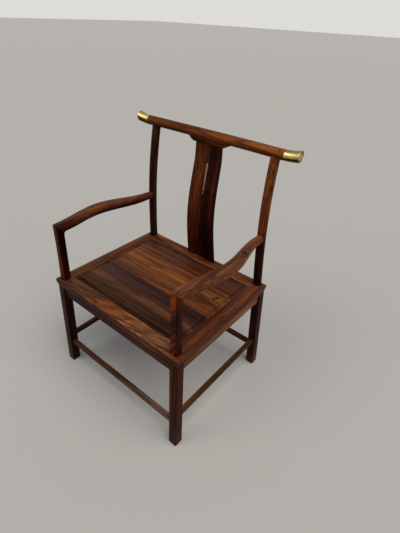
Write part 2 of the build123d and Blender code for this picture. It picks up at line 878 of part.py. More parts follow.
if __name__ == "__main__":
    write_pair("front_leg", front_leg())
    write_pair("rear_leg", rear_leg())
    write_pair("arm", arm())
    write_pair("crest_cap", crest_cap())
    write_pair("seat_rail", seat_rail_right())
    write_pair("apron", apron_right())
    write_pair("stretcher", stretcher_right())
    write_pair("seat_batten", seat_batten())
    write("crest_rail", crest_rail())
    board = splat_board()
    write("back_splat", back_splat(board))
    write("splat_inlay_bar", inlay_bar(board))
    write("splat_inlay_dot", inlay_dot(board))
    write("seat_rail_front", seat_rail_front())
    write("seat_rail_rear", seat_rail_rear())
    write("apron_front", apron_front())
    write("apron_rear", apron_rear())
    write("stretcher_front", stretcher_across(-1))
    write("stretcher_rear", stretcher_across(1))
    edges = (opening_front, *board_joints, opening_rear)
    names = ("front", "mid_front", "mid_rear", "rear")
    for name, front, rear in zip(names, edges, edges[1:]):
        write(f"seat_board_{name}", seat_board(front, rear))
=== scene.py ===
from math import cos, pi, radians, sin, sqrt

import bmesh
import bpy
from mathutils import Matrix, Vector


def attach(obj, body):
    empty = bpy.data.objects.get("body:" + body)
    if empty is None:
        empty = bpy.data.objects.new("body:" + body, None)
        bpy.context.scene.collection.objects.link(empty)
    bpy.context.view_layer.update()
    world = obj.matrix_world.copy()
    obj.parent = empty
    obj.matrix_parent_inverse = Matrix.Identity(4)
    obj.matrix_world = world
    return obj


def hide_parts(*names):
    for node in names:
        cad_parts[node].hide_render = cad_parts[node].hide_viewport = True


# Dressed model of the official hat chair. Sizes below are millimetres laid out about the middle of the
# seat, as the joiner would set them out; place() turns them into metres over the middle of the footprint.

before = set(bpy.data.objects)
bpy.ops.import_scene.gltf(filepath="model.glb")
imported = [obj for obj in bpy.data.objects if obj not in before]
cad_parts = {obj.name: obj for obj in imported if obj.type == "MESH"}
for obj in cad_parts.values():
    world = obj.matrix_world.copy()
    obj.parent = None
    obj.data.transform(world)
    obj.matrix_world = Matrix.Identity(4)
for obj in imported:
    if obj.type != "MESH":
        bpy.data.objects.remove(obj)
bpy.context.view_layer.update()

MM = 0.001

# ---------------- sizes

# Seat: a mitred frame round a panel of four boards with a raised field.
SEAT_TOP = 435.0
RAIL_UNDER = 402.0
HALF_WIDTH = 315.0
HALF_DEPTH = 259.0
OPENING_X = 265.0
OPENING_FRONT = -207.0
OPENING_REAR = 205.0
SIDE_RAIL = HALF_WIDTH - OPENING_X
FRONT_RAIL = HALF_DEPTH + OPENING_FRONT
REAR_RAIL = HALF_DEPTH - OPENING_REAR
RAIL_LIP = 5.0
RAIL_EASE = 0.9
LIP_STEPS = 6
COVE_DEPTH = 3.0
COVE_FOOT = 3.0
COVE_HEIGHT = 16.0
COVE_CURVE = 1.2
COVE_EASE = 0.6
COVE_STEPS = 5
MITRE_EASE = 0.5
JOINT_GAP = 0.15
BOARD_JOINTS = (-45.0, 37.0, 130.0)
BOARD_SIDE_GAP = 0.2
BOARD_EASE = 0.35
PANEL_UNDER = 421.0
SHOULDER_TOP = 430.0
SHOULDER_WIDTH = 15.0
FIELD_X = OPENING_X - SHOULDER_WIDTH
FIELD_ROUND = 1.6

# Legs: square and splayed below the seat, with a thin neck inside its frame. LEG_RINGS holds heights, and
# how much the softened end edges take off the leg there.
LEG_X = 295.0
LEG_Y = 239.0
SPLAY_X = 10.5
SPLAY_Y = 16.0
LEG_FOOT = 34.5
LEG_TAPER = 0.5
LEG_CORNER = 3.0
LEG_RINGS = ((0, 2.0), (0.7, 0.8), (2.0, 0), (100, 0), (200, 0), (300, 0), (401.4, 0), (RAIL_UNDER, 1.0))
NECK = 22.0
NECK_LEVELS = (RAIL_UNDER + 0.1, SEAT_TOP - 1)
INTO_SEAT = 0.5

# Arms and their posts. The post's values stand at the seat, at its waist and at the top of the arm.
ARM_AXIS = 651.0
ARM_END = 30.0
ARM_TOP = ARM_AXIS + ARM_END / 2
ARM_UNDER = ARM_AXIS - ARM_END / 2
ARM_FACE_Y = -240.0
ARM_FRONT_X = 283.0
POST_FOOT = 30.0
POST_WAIST = 28.5
WAIST_HEIGHT = 586.2
POST_CORNER = 6.0
POST_X = ((SEAT_TOP, 287.2), (WAIST_HEIGHT, 283.84), (ARM_TOP, ARM_FRONT_X))
POST_FACE_Y = ((SEAT_TOP, -248.2), (WAIST_HEIGHT, -242.05), (ARM_TOP, ARM_FACE_Y))
POST_WIDTH = ((SEAT_TOP, POST_FOOT), (WAIST_HEIGHT, POST_WAIST), (ARM_TOP, ARM_END))
POST_DEPTH = ((SEAT_TOP, POST_FOOT), (WAIST_HEIGHT, POST_WAIST), (ARM_TOP, POST_WAIST))
POST_LEVELS = (SEAT_TOP - INTO_SEAT, 440, 455, 475, 500, 525, 550, 575, 595, 610)
TILT_START = 618.0
TILT_SHARES = (0, 0.2, 0.4, 0.55, 0.7, 0.8, 0.9, 1)
# The elbow's hollow takes 1 - cos 45 degrees of its radius off the inner corner of the mitre. Points nearer
# to the inner edge than MITRE_EDGE move with it; those nearer to a face than HOLLOW_FACE follow the curve.
ELBOW_HOLLOW = 10.0
ELBOW_EASE = 0.293 * ELBOW_HOLLOW
MITRE_EDGE = 0.5
HOLLOW_FACE = 1.0
PAST_HOLLOW = 1.0
ARM_DROP = 9.5
ARM_REAR_AXIS = ARM_AXIS - ARM_DROP
DROP_START = 0.3
DROP_SPAN = 0.55
ARM_BOW = 33.0
BOW_END = 0.93
SWELL_END = 0.95
WIDTH_SWELL = 15.0
DEPTH_SWELL = 11.5
ARM_NARROWING = 3.0
ARM_THINNING = 1.0
ARM_ROUNDNESS = 0.44
ROUND_BY = 0.3
BLEND_SHARES = (0, 0.15, 0.3, 0.45, 0.6, 0.8, 1)
ARM_STEPS = 34

# Aprons and stretchers. They run LEG_BITE into the legs, so that no gap shows.
LEG_BITE = 0.3
APRON_THICKNESS = 16.0
APRON_HEIGHT = 42.0
APRON_EDGE = 1.0
APRON_FACE_X = 306.0
APRON_FACE_Y = 250.0
BRACKET = 11.0
BRACKET_TIP = 1.5
BRACKET_STEPS = 8
BRACKET_EASE = 0.8
STRETCHER = 18.0
STRETCHER_CORNER = 2.0
STRETCHER_TOP_ACROSS = 115.0
STRETCHER_TOP_ALONG = 147.0
BAR_RINGS = (-1, -0.5, 0, 0.5, 1)

# Crest rail: a round bar, bowed forward and risen at its tips, with a block over the splat. Its ends are
# eased by (distance in, how much thinner).
CREST_AXIS = 940.0
CREST_Y = 261.9
CREST_RADIUS = 17.5
CREST_HALF = 355.5
CREST_BOW = 5.0
TIP_LENGTH = 62.0
TIP_RISE = 7.5
TIP_CURVE = 2.3
BLOCK_HALF = 97.0
BLOCK_SLOPE = 35.5
BLOCK_SQUARED = 22.0
BLOCK_DROP = 12.5
BLOCK_CORNER = 5.0
CREST_ROUND_STEPS = 16
CREST_EASE = ((0.3, 0.9), (0.9, 0.2))
CREST_STATIONS = (
    (0, 20, 40, 55, 60, 63, 66, 70, 74, 78, 82, 86, 90, 93, 95.5, 97)
    + (99, 104, 115, 135, 160, 190, 220, 250, 275, 295)
)

# Brass caps: a flared sleeve. Its mouth is (distance in, radius) from the bore to the outside.
CAP_LENGTH = 53.0
CAP_MOUTH = ((1.2, 13.0), (0, 15.8), (0, 17.0), (0.4, CREST_RADIUS))
CAP_FLARE = 1.75
CAP_END_FLARE = 1.7
CAP_STEPS = 12
CAP_ROUND = 2.2
CAP_ROUND_STEPS = 5
CAP_FACE = 6.0

# Rear posts: round, leaning in, hollowed forward and then raked back to the crest.
BACK_POST = 33.0
BACK_POST_X = 284.2
BACK_POST_LEAN = 16.3
BACK_POST_CURVE = 1.45
HOLLOW_HEIGHT = 640.0
HOLLOW_Y = 232.9
HOLLOW_SWEEP = 6.8
BACK_RAKE = 29.0
BACK_POST_LEVELS = (SEAT_TOP - INTO_SEAT, 450, *range(470, 930, 20), CREST_AXIS - 4)

# Back splat: tapered, S-curved and dished across its face.
SPLAT_TOP = 910.0
SPLAT_INTO_CREST = 2.0
SPLAT_FOOT_Y = 232.3
SPLAT_HEAD_Y = 249.3
SPLAT_HOLLOW = 24.0
HOLLOW_END = 0.89
HOLLOW_CURVE = 1.2
SPLAT_DISH = 6.5
SPLAT_FOOT_WIDTH = 136.4
SPLAT_TAPER = 22.4
SPLAT_THICKNESS = 14.0
SPLAT_EDGE = 2.2
SPLAT_TURN = (0.4, 0.1)
SPLAT_POINTS = 17
SPLAT_STEPS = 40

# Inlay: how far behind the splat's face its back, its edge and its crown lie, the share of its width that the
# crown takes, then the strip and the dot.
INLAY_BACK = 1.5
INLAY_EDGE = 0.05
INLAY_CROWN = -0.18
CROWN_WIDTH = 0.75
STRIP_LOW = 736.0
STRIP_TOP = 841.0
STRIP_FOOT_EASE = (0.6, 0.5)
STRIP_FOOT_HALF = 2.0
STRIP_HEAD_HALF = 4.0
STRIP_HEAD_ROUND = 5.0
STRIP_HEAD_STRETCH = 0.44
STRIP_HEAD_STEPS = 7
STRIP_STEP = 8.0
DOT_HEIGHT = 728.0
DOT_RINGS = ((2.5, INLAY_BACK), (2.5, INLAY_EDGE), (2.1, INLAY_CROWN), (1.0, -0.22))

# The crest stands further back than the front feet stand out, so the chair's middle is behind the seat's.
FOOTPRINT_SHIFT = (LEG_Y + SPLAY_Y + LEG_FOOT / 2 - CREST_Y - CREST_RADIUS) / 2

# How the meshes are made: points on a rounded corner, shading, how near counts as touching a line, and how
# far a normal has to point, or not to point, along the rail or upwards.
CORNER_STEPS = 6
SMOOTH_DEGREES = 32
SHARP_DEGREES = 35
BRACKET_DEGREES = 50
NEAR = 0.3
LEVEL = 0.1
MITRE_NORMAL = 0.6
PROFILE_NORMAL = 0.3
UPWARD_NORMAL = 0.9


def place(x, y, z):
    """A point of the chair in metres, over the middle of the footprint."""
    return Vector((x, y + FOOTPRINT_SHIFT, z)) * MM


def seat_place(point):
    """A point of a mesh in millimetres about the middle of the seat, the opposite of place()."""
    return point / MM - Vector((0, FOOTPRINT_SHIFT, 0))


# ---------------- mesh tools


def select_only(piece):
    """Select a piece alone and make it the active one."""
    bpy.ops.object.select_all(action="DESELECT")
    piece.select_set(True)
    bpy.context.view_layer.objects.active = piece


def extrude_along(rings):
    """Extrude a disc from ring to ring, each ring the same number of points, and close both ends."""
    bpy.ops.object.select_all(action="DESELECT")
    bpy.ops.mesh.primitive_circle_add(vertices=len(rings[0]), radius=0.01, fill_type="NGON")
    piece = bpy.context.object
    bpy.ops.object.mode_set(mode="EDIT")
    mesh = bmesh.from_edit_mesh(piece.data)
    order = mesh.verts.layers.int.new("order")
    mesh.verts.ensure_lookup_table()
    for corner in mesh.verts:
        corner[order] = corner.index
        corner.co = rings[0][corner.index]
    bmesh.update_edit_mesh(piece.data)
    for ring in rings[1:]:
        bpy.ops.mesh.extrude_region_move()
        mesh = bmesh.from_edit_mesh(piece.data)
        order = mesh.verts.layers.int["order"]
        for corner in mesh.verts:
            if corner.select:
                corner.co = ring[corner[order]]
        bmesh.update_edit_mesh(piece.data)
    bpy.ops.mesh.select_all(action="SELECT")
    bpy.ops.mesh.normals_make_consistent(inside=False)
    bpy.ops.object.mode_set(mode="OBJECT")
    return piece


def straight_bar(section, spot):
    """Extrude a section from end -1 to end 1 of a bar; spot(end, *point) gives the place of its points."""
    return extrude_along([[spot(end, *point) for point in section] for end in BAR_RINGS])


def select_edges(piece, wanted):
    """In edit mode, select only the edges for which wanted(edge) holds."""
    select_only(piece)
    bpy.ops.object.mode_set(mode="EDIT")
    bpy.ops.mesh.select_mode(type="EDGE")
    bpy.ops.mesh.select_all(action="DESELECT")
    mesh = bmesh.from_edit_mesh(piece.data)
    for edge in mesh.edges:
        edge.select_set(wanted(edge))
    mesh.select_flush(True)
    bmesh.update_edit_mesh(piece.data)


def ease_edges(piece, wanted, width, segments=2):
    """Round over the chosen edges by width millimetres."""
    select_edges(piece, wanted)
    bpy.ops.mesh.bevel(offset=width * MM, segments=segments, profile=0.5, affect="EDGES")
    bpy.ops.object.mode_set(mode="OBJECT")


def sharp(edge, degrees=SHARP_DEGREES):
    return edge.is_manifold and edge.calc_face_angle(0) > radians(degrees)


def finish_piece(piece, node, made, finish, slot):
    """Name a piece for its node and for how it was made, shade it, give it its wood or metal and set it on
    the chair."""
    piece.name = f"{node}_{made}"
    piece.data.name = f"{node}_{made}"
    select_only(piece)
    bpy.ops.object.shade_smooth_by_angle(angle=radians(SMOOTH_DEGREES))
    piece.data.materials.clear()
    piece.data.materials.append(finish)
    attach(piece, "root")
    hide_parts(node)


def quarter(steps):
    """The angles that divide a quarter turn into equal steps, both ends included."""
    return [step / steps * pi / 2 for step in range(steps + 1)]


def even_quarter(turn):
    """The angles of one of the four quarters of a circle whose points all lie equally far apart."""
    return [(turn + (step + 0.5) / (CORNER_STEPS + 1)) * pi / 2 for step in range(CORNER_STEPS + 1)]


def rounded_section(width, depth, corner):
    """Points round a rectangle with rounded corners, counter-clockwise."""
    points = []
    for turn, (side_x, side_y) in enumerate(((1, 1), (-1, 1), (-1, -1), (1, -1))):
        center_x = side_x * (width / 2 - corner)
        center_y = side_y * (depth / 2 - corner)
        for step in range(CORNER_STEPS + 1):
            angle = (turn + step / CORNER_STEPS) * pi / 2
            points.append((center_x + corner * cos(angle), center_y + corner * sin(angle)))
    return points


def round_section(diameter):
    """A circle with as many points as rounded_section gives."""
    angles = [angle for turn in range(4) for angle in even_quarter(turn)]
    return [(diameter / 2 * cos(angle), diameter / 2 * sin(angle)) for angle in angles]


def through(z, low, middle, high):
    """Value at z of the smooth curve through three (z, value) pairs."""
    total = 0
    for a, b, c in ((low, middle, high), (middle, low, high), (high, low, middle)):
        total += a[1] * (z - b[0]) * (z - c[0]) / ((a[0] - b[0]) * (a[0] - c[0]))
    return total


def blend(near, far, share):
    """The point that lies a share of the way from near to far."""
    return [a + (b - a) * share for a, b in zip(near, far)]


def smoothstep(value):
    value = min(max(value, 0), 1)
    return value * value * (3 - 2 * value)


def flat_ring(points, x, y, z, side):
    """A level section set about x, y at height z, mirrored for the left side."""
    return [place(side * (x + u), y + v, z) for u, v in points]


# ---------------- legs and posts


def leg_middle(z):
    share = 1 - z / RAIL_UNDER
    return LEG_X + SPLAY_X * share, LEG_Y + SPLAY_Y * share


def leg_side(z):
    return LEG_FOOT - LEG_TAPER * z / RAIL_UNDER


def leg_inner(z):
    """X and Y of the leg's inner faces, which the bars between the legs meet."""
    x, y = leg_middle(z)
    return x - leg_side(z) / 2, y - leg_side(z) / 2


def leg_rings(side, side_y, post_x, post_y):
    """The square, splayed leg from the floor to the frame, with softened end edges, and the neck, midway
    between the top of the leg and the post."""
    rings = []
    for z, less in LEG_RINGS:
        x, y = leg_middle(z)
        width = leg_side(z) - less
        rings.append(flat_ring(rounded_section(width, width, LEG_CORNER), x, side_y * y, z, side))
    neck = round_section(NECK)
    for z in NECK_LEVELS:
        rings.append(flat_ring(neck, (x + post_x) / 2, (side_y * y + post_y) / 2, z, side))
    return rings


def front_post_section(z):
    """Middle x, middle y and section of the arm post at height z."""
    x = through(z, *POST_X)
    face = through(z, *POST_FACE_Y)
    width = through(z, *POST_WIDTH)
    depth = through(z, *POST_DEPTH)
    return x, face + depth / 2, rounded_section(width, depth, POST_CORNER)


def mitre_ring(side):
    """The slanted ring that post and arm share, eased at the inner corner."""
    x, y, section = front_post_section(ARM_TOP)
    ring = []
    for u, v in section:
        inner = v > POST_WAIST / 2 - MITRE_EDGE
        ease = ELBOW_EASE if inner else 0
        rise = (v + POST_WAIST / 2) * ARM_END / POST_WAIST
        ring.append((side * (x + u), y + v + ease, ARM_TOP - rise - ease))
    return ring


def front_post_rings(side):
    """The arm post from the seat up, then tilted ring by ring into the mitre under its hollowed corner."""
    rings = []
    for z in POST_LEVELS:
        x, y, section = front_post_section(z)
        rings.append(flat_ring(section, x, y, z, side))
    x, y, section = front_post_section(TILT_START)
    foot = [(side * (x + u), y + v, TILT_START) for u, v in section]
    mitre = mitre_ring(side)
    for share in TILT_SHARES:
        ring = []
        for low, high in zip(foot, mitre):
            across, back, height = blend(low, high, share)
            if low[1] > y + POST_WAIST / 2 - HOLLOW_FACE:
                past = max(height - ARM_UNDER + ELBOW_HOLLOW, 0)
                back = low[1] + ELBOW_HOLLOW - sqrt(max(ELBOW_HOLLOW**2 - past**2, 0))
                back += (high[1] - ELBOW_EASE - low[1]) * share
            ring.append(place(across, back, height))
        rings.append(ring)
    return rings


def front_leg(side):
    post_x, post_y, _ = front_post_section(SEAT_TOP)
    return extrude_along(leg_rings(side, -1, post_x, post_y) + front_post_rings(side))


def rear_post_middle(z):
    """Middle of the rear post: it leans in, hollows forward, then rakes back to the crest."""
    share = min((z - SEAT_TOP) / (CREST_AXIS - SEAT_TOP), 1)
    x = BACK_POST_X - BACK_POST_LEAN * (1 - (1 - share) ** BACK_POST_CURVE)
    if z < HOLLOW_HEIGHT:
        y = HOLLOW_Y + HOLLOW_SWEEP * ((z - HOLLOW_HEIGHT) / (HOLLOW_HEIGHT - SEAT_TOP)) ** 2
    else:
        y = HOLLOW_Y + BACK_RAKE * ((z - HOLLOW_HEIGHT) / (CREST_AXIS - HOLLOW_HEIGHT)) ** 2
    return x, y


def rear_leg(side):
    rings = leg_rings(side, 1, *rear_post_middle(SEAT_TOP))
    for z in BACK_POST_LEVELS:
        x, y = rear_post_middle(max(z, SEAT_TOP))
        rings.append(flat_ring(round_section(BACK_POST), x, y, z, side))
    return extrude_along(rings)


# ---------------- arms


def arm_ring(share, side):
    """Section of the arm, share 0 at its front face and 1 at the middle of the rear post."""
    rear_x, rear_y = rear_post_middle(ARM_REAR_AXIS)
    y = ARM_FACE_Y + (rear_y - ARM_FACE_Y) * share
    bow = ARM_BOW * sin(pi * min(share / BOW_END, 1)) ** 2
    x = ARM_FRONT_X + (rear_x - ARM_FRONT_X) * share + bow
    z = ARM_AXIS - ARM_DROP * smoothstep((share - DROP_START) / DROP_SPAN)
    swell = sin(pi * min(share / SWELL_END, 1))
    width = ARM_END - ARM_NARROWING * share + WIDTH_SWELL * swell
    depth = ARM_END - ARM_THINNING * share + DEPTH_SWELL * swell
    rounding = ARM_ROUNDNESS * min(width, depth) - POST_CORNER
    corner = POST_CORNER + rounding * min(share / ROUND_BY, 1)
    return [(side * (x + u), y, z - v) for u, v in rounded_section(width, depth, corner)]


def arm(side):
    """The arm, from the mitre through its hollowed corner and back to the rear post."""
    length = rear_post_middle(ARM_REAR_AXIS)[1] - ARM_FACE_Y
    first = (POST_WAIST + ELBOW_HOLLOW + PAST_HOLLOW) / length
    mitre = mitre_ring(side)
    start = arm_ring(first, side)
    rings = []
    for share in BLEND_SHARES:
        ring = []
        for near, far in zip(mitre, start):
            across, back, height = blend(near, far, share)
            if far[2] < ARM_UNDER - HOLLOW_FACE:
                past = max(ARM_FACE_Y + POST_WAIST + ELBOW_HOLLOW - back, 0)
                height = far[2] - ELBOW_HOLLOW + sqrt(max(ELBOW_HOLLOW**2 - past**2, 0))
                height += (near[2] + ELBOW_EASE - far[2]) * (1 - share)
            ring.append(place(across, back, height))
        rings.append(ring)
    for step in range(1, ARM_STEPS + 1):
        share = first + (1 - first) * step / ARM_STEPS
        rings.append([place(*point) for point in arm_ring(share, side)])
    return extrude_along(rings)


# ---------------- seat frame


def rail_profile(width):
    """Distance in from the outer edge, then height: rounded lip on top and a cove under it."""
    points = []
    for angle in quarter(LIP_STEPS):
        points.append((RAIL_LIP - RAIL_LIP * cos(angle), SEAT_TOP - RAIL_LIP + RAIL_LIP * sin(angle)))
    points += [(width - RAIL_EASE, SEAT_TOP), (width - RAIL_EASE / 3, SEAT_TOP - RAIL_EASE / 3)]
    points += [(width, SEAT_TOP - RAIL_EASE), (width, RAIL_UNDER)]
    points += [(COVE_DEPTH + COVE_EASE, RAIL_UNDER), (COVE_DEPTH, RAIL_UNDER + COVE_EASE)]
    for step in range(COVE_STEPS + 1):
        share = step / COVE_STEPS
        inward = COVE_DEPTH - COVE_DEPTH * smoothstep(share) ** COVE_CURVE
        points.append((inward, RAIL_UNDER + COVE_FOOT + COVE_HEIGHT * share))
    return points


def mitre_end(edge, axis):
    """An edge of a mitred end face, where that face meets the profile. Only the end face's normal points well
    along the rail."""
    faces = [abs(face.normal[axis]) for face in edge.link_faces]
    return len(faces) == 2 and max(faces) > MITRE_NORMAL and min(faces) < PROFILE_NORMAL


def seat_rail(side, along):
    """Rail of the seat frame, mitred at both ends: a side rail if it runs along the chair, or else the front
    or rear one."""

    def cross_width(end):
        return FRONT_RAIL if end < 0 else REAR_RAIL

    width = SIDE_RAIL if along else cross_width(side)

    def spot(end, inward, z):
        if along:
            reach = HALF_DEPTH - inward * cross_width(end) / width - JOINT_GAP
            return place(side * (HALF_WIDTH - inward), end * reach, z)
        reach = HALF_WIDTH - inward * SIDE_RAIL / width - JOINT_GAP
        return place(end * reach, side * (HALF_DEPTH - inward), z)

    rail = straight_bar(rail_profile(width), spot)
    ease_edges(rail, lambda edge: mitre_end(edge, 1 if along else 0), MITRE_EASE)
    return rail


def seat_board(front, rear):
    """One board of the panel: a raised field inside a sunk shoulder. The field of a middle board runs on to
    the next board."""
    field_front = front + SHOULDER_WIDTH if front <= OPENING_FRONT else front
    field_rear = rear - SHOULDER_WIDTH if rear >= OPENING_REAR else rear
    low = place(-OPENING_X + BOARD_SIDE_GAP, front + JOINT_GAP, PANEL_UNDER)
    high = place(OPENING_X - BOARD_SIDE_GAP, rear - JOINT_GAP, SHOULDER_TOP)
    bpy.ops.object.select_all(action="DESELECT")
    bpy.ops.mesh.primitive_cube_add(size=1, location=(low + high) / 2, scale=high - low)
    board = bpy.context.object
    bpy.ops.object.transform_apply(location=True, rotation=True, scale=True)
    bpy.ops.object.mode_set(mode="EDIT")
    cuts = [(place(x, 0, 0), (1, 0, 0)) for x in (-FIELD_X, FIELD_X)]
    cuts += [(place(0, y, 0), (0, 1, 0)) for y in (field_front, field_rear)]
    for point, normal in cuts:
        bpy.ops.mesh.select_all(action="SELECT")
        bpy.ops.mesh.bisect(plane_co=point, plane_no=normal)
    bpy.ops.mesh.select_mode(type="FACE")
    bpy.ops.mesh.select_all(action="DESELECT")
    mesh = bmesh.from_edit_mesh(board.data)
    for face in mesh.faces:
        middle = seat_place(face.calc_center_median())
        inside = abs(middle.x) < FIELD_X and field_front < middle.y < field_rear
        face.select_set(inside and face.normal.z > UPWARD_NORMAL)
    bmesh.update_edit_mesh(board.data)
    raised = (0, 0, (SEAT_TOP - SHOULDER_TOP) * MM)
    bpy.ops.mesh.extrude_region_move(TRANSFORM_OT_translate={"value": raised})
    bpy.ops.object.mode_set(mode="OBJECT")
    ease_edges(board, lambda edge: field_border(edge, field_front, field_rear), FIELD_ROUND, 3)
    ease_edges(board, lambda edge: board_joint(edge, front, rear), BOARD_EASE)
    return board


def edge_middle(edge):
    a, b = edge.verts
    return seat_place((a.co + b.co) / 2)


def field_border(edge, front, rear):
    """Top edge of the raised field where it drops to the shoulder."""
    middle = edge_middle(edge)
    past = (abs(middle.x) - FIELD_X, middle.y - front, middle.y - rear)
    return middle.z > SEAT_TOP - LEVEL and min(abs(gap) for gap in past) < LEVEL and sharp(edge)


def board_joint(edge, front, rear):
    """Top edge of a board where the next board meets it."""
    middle = edge_middle(edge)
    near = min(abs(middle.y - front), abs(middle.y - rear)) < NEAR
    a, b = edge.verts
    across = abs(a.co.y - b.co.y) < LEVEL * MM
    return near and across and middle.z > SHOULDER_TOP - LEVEL and sharp(edge)


# ---------------- aprons and stretchers


def leg_bar(section, out, middle, side, along):
    """Bar between the slanted legs, from side to side or along the chair. On its side, its middle is out
    millimetres from the middle of the seat and at height middle."""

    def spot(end, u, v):
        x, y = leg_inner(middle + v)
        if along:
            return place(side * (out + u), end * (y + LEG_BITE), middle + v)
        return place(end * (x + LEG_BITE), side * (out + u), middle + v)

    return straight_bar(section, spot)


def apron(side, along):
    """Front or side apron, set back under the frame."""
    section = rounded_section(APRON_THICKNESS, APRON_HEIGHT, APRON_EDGE)
    face = APRON_FACE_X if along else APRON_FACE_Y
    return leg_bar(section, face - APRON_THICKNESS / 2, RAIL_UNDER - APRON_HEIGHT / 2, side, along)


def stretcher(side, along):
    """Stretcher. The side ones stand higher, so that no two tenons meet in the leg."""
    section = rounded_section(STRETCHER, STRETCHER, STRETCHER_CORNER)
    middle = (STRETCHER_TOP_ALONG if along else STRETCHER_TOP_ACROSS) - STRETCHER / 2
    x, y = leg_middle(middle)
    return leg_bar(section, x if along else y, middle, side, along)


def apron_rear():
    """Rear apron with a small hollowed bracket at each end."""
    under = RAIL_UNDER - APRON_HEIGHT
    low = under - BRACKET
    outline = [(leg_inner(z)[0] + LEG_BITE, z) for z in (RAIL_UNDER, low)]
    corner_x = leg_inner(low)[0] - BRACKET_TIP
    for angle in quarter(BRACKET_STEPS):
        outline.append((corner_x - BRACKET * sin(angle), under - BRACKET * cos(angle)))
    outline += [(-x, z) for x, z in reversed(outline)]
    faces = (APRON_FACE_Y - APRON_THICKNESS, APRON_FACE_Y)
    board = extrude_along([[place(x, y, z) for x, z in outline] for y in faces])
    ease_edges(board, lambda edge: sharp(edge, BRACKET_DEGREES), BRACKET_EASE)
    return board


# ---------------- crest rail and caps


def crest_middle(x):
    """Y and Z of the crest's axis: bowed forward towards its ends, with rising tips."""
    y = CREST_Y - CREST_BOW * (x / CREST_HALF) ** 2
    past = max(abs(x) - CREST_HALF + TIP_LENGTH, 0) / TIP_LENGTH
    return y, CREST_AXIS + TIP_RISE * past**TIP_CURVE


def crest_ring(x, radius):
    """Round bar with a lowered, square-sided block over the splat."""
    y, z = crest_middle(x)
    low = -radius - BLOCK_DROP * smoothstep((BLOCK_HALF - abs(x)) / BLOCK_SLOPE)
    square = smoothstep((BLOCK_HALF - abs(x)) / BLOCK_SQUARED)
    corner = radius + (BLOCK_CORNER - radius) * square
    points = []
    for step in range(CREST_ROUND_STEPS + 1):
        angle = step / CREST_ROUND_STEPS * pi
        points.append((radius * cos(angle), radius * sin(angle)))
    for side, turn in ((-1, 2), (1, 3)):
        for angle in even_quarter(turn):
            back = side * (radius - corner) + corner * cos(angle)
            points.append((back, low + corner + corner * sin(angle)))
    return [place(x, y + u, z + v) for u, v in points]


def crest_rail():
    """The crest between the shoulders that its caps sit on, mirrored about the middle of the chair."""
    end = CREST_HALF - CAP_LENGTH
    stations = [-x for x in reversed(CREST_STATIONS[1:])] + list(CREST_STATIONS)
    rings = [crest_ring(-end + inset, CREST_RADIUS - less) for inset, less in CREST_EASE]
    rings += [crest_ring(x, CREST_RADIUS) for x in stations]
    rings += [crest_ring(end - inset, CREST_RADIUS - less) for inset, less in reversed(CREST_EASE)]
    return extrude_along(rings)


def cap_ring(x, radius, side):
    y, z = crest_middle(x)
    return [place(side * x, y + u, z + v) for u, v in round_section(2 * radius)]


def crest_cap(side):
    """Brass sleeve with a softly rounded closed end."""
    start = CREST_HALF - CAP_LENGTH
    rings = [cap_ring(start + inset, radius, side) for inset, radius in CAP_MOUTH]
    for step in range(1, CAP_STEPS + 1):
        share = step / CAP_STEPS * (CAP_LENGTH - CAP_ROUND) / CAP_LENGTH
        rings.append(cap_ring(start + CAP_LENGTH * share, CREST_RADIUS + CAP_FLARE * share**2, side))
    inner_radius = CREST_RADIUS + CAP_END_FLARE - CAP_ROUND
    for angle in quarter(CAP_ROUND_STEPS)[1:]:
        x = CREST_HALF - CAP_ROUND + CAP_ROUND * sin(angle)
        rings.append(cap_ring(x, inner_radius + CAP_ROUND * cos(angle), side))
    rings.append(cap_ring(CREST_HALF, CAP_FACE, side))
    return extrude_along(rings)


# ---------------- back splat and inlay


def splat_share(z):
    """How far up the splat z lies, 0 at the seat and 1 at its top."""
    return (z - SEAT_TOP) / (SPLAT_TOP - SEAT_TOP)


def splat_half(z):
    return (SPLAT_FOOT_WIDTH - SPLAT_TAPER * splat_share(z)) / 2


def splat_face_y(x, z):
    """Y of the splat's front face: the S curve of its side edges, and the dish between them."""
    share = splat_share(z)
    hollow = sin(pi * min(max(share, 0) / HOLLOW_END, 1)) ** HOLLOW_CURVE
    edge_y = SPLAT_FOOT_Y + (SPLAT_HEAD_Y - SPLAT_FOOT_Y) * share - SPLAT_HOLLOW * hollow
    return edge_y + SPLAT_DISH * (1 - (x / splat_half(z)) ** 2)


def splat_ring(z):
    """Section of the splat: its dished face, softened edges and a back that follows the face."""
    half = splat_half(z)
    face = []
    for step in range(SPLAT_POINTS):
        x = (half - SPLAT_EDGE) * (2 * step / (SPLAT_POINTS - 1) - 1)
        face.append((x, splat_face_y(x, z)))
    back = [(x, y + SPLAT_THICKNESS) for x, y in reversed(face)]
    front_y = splat_face_y(half, z)
    back_y = front_y + SPLAT_THICKNESS
    turn_x = half - SPLAT_TURN[0] * SPLAT_EDGE
    turn_y = SPLAT_TURN[1] * SPLAT_EDGE
    edge = [(turn_x, front_y + turn_y), (half, front_y + SPLAT_EDGE)]
    edge += [(half, back_y - SPLAT_EDGE), (turn_x, back_y - turn_y)]
    far_edge = [(-x, y) for x, y in reversed(edge)]
    return [place(x, y, z) for x, y in face + edge + back + far_edge]


def back_splat():
    """The splat, from just inside the seat rail to inside the crest."""
    bottom = SEAT_TOP - INTO_SEAT
    length = SPLAT_TOP + SPLAT_INTO_CREST - bottom
    levels = [bottom + length * step / SPLAT_STEPS for step in range(SPLAT_STEPS + 1)]
    return extrude_along([splat_ring(z) for z in levels])


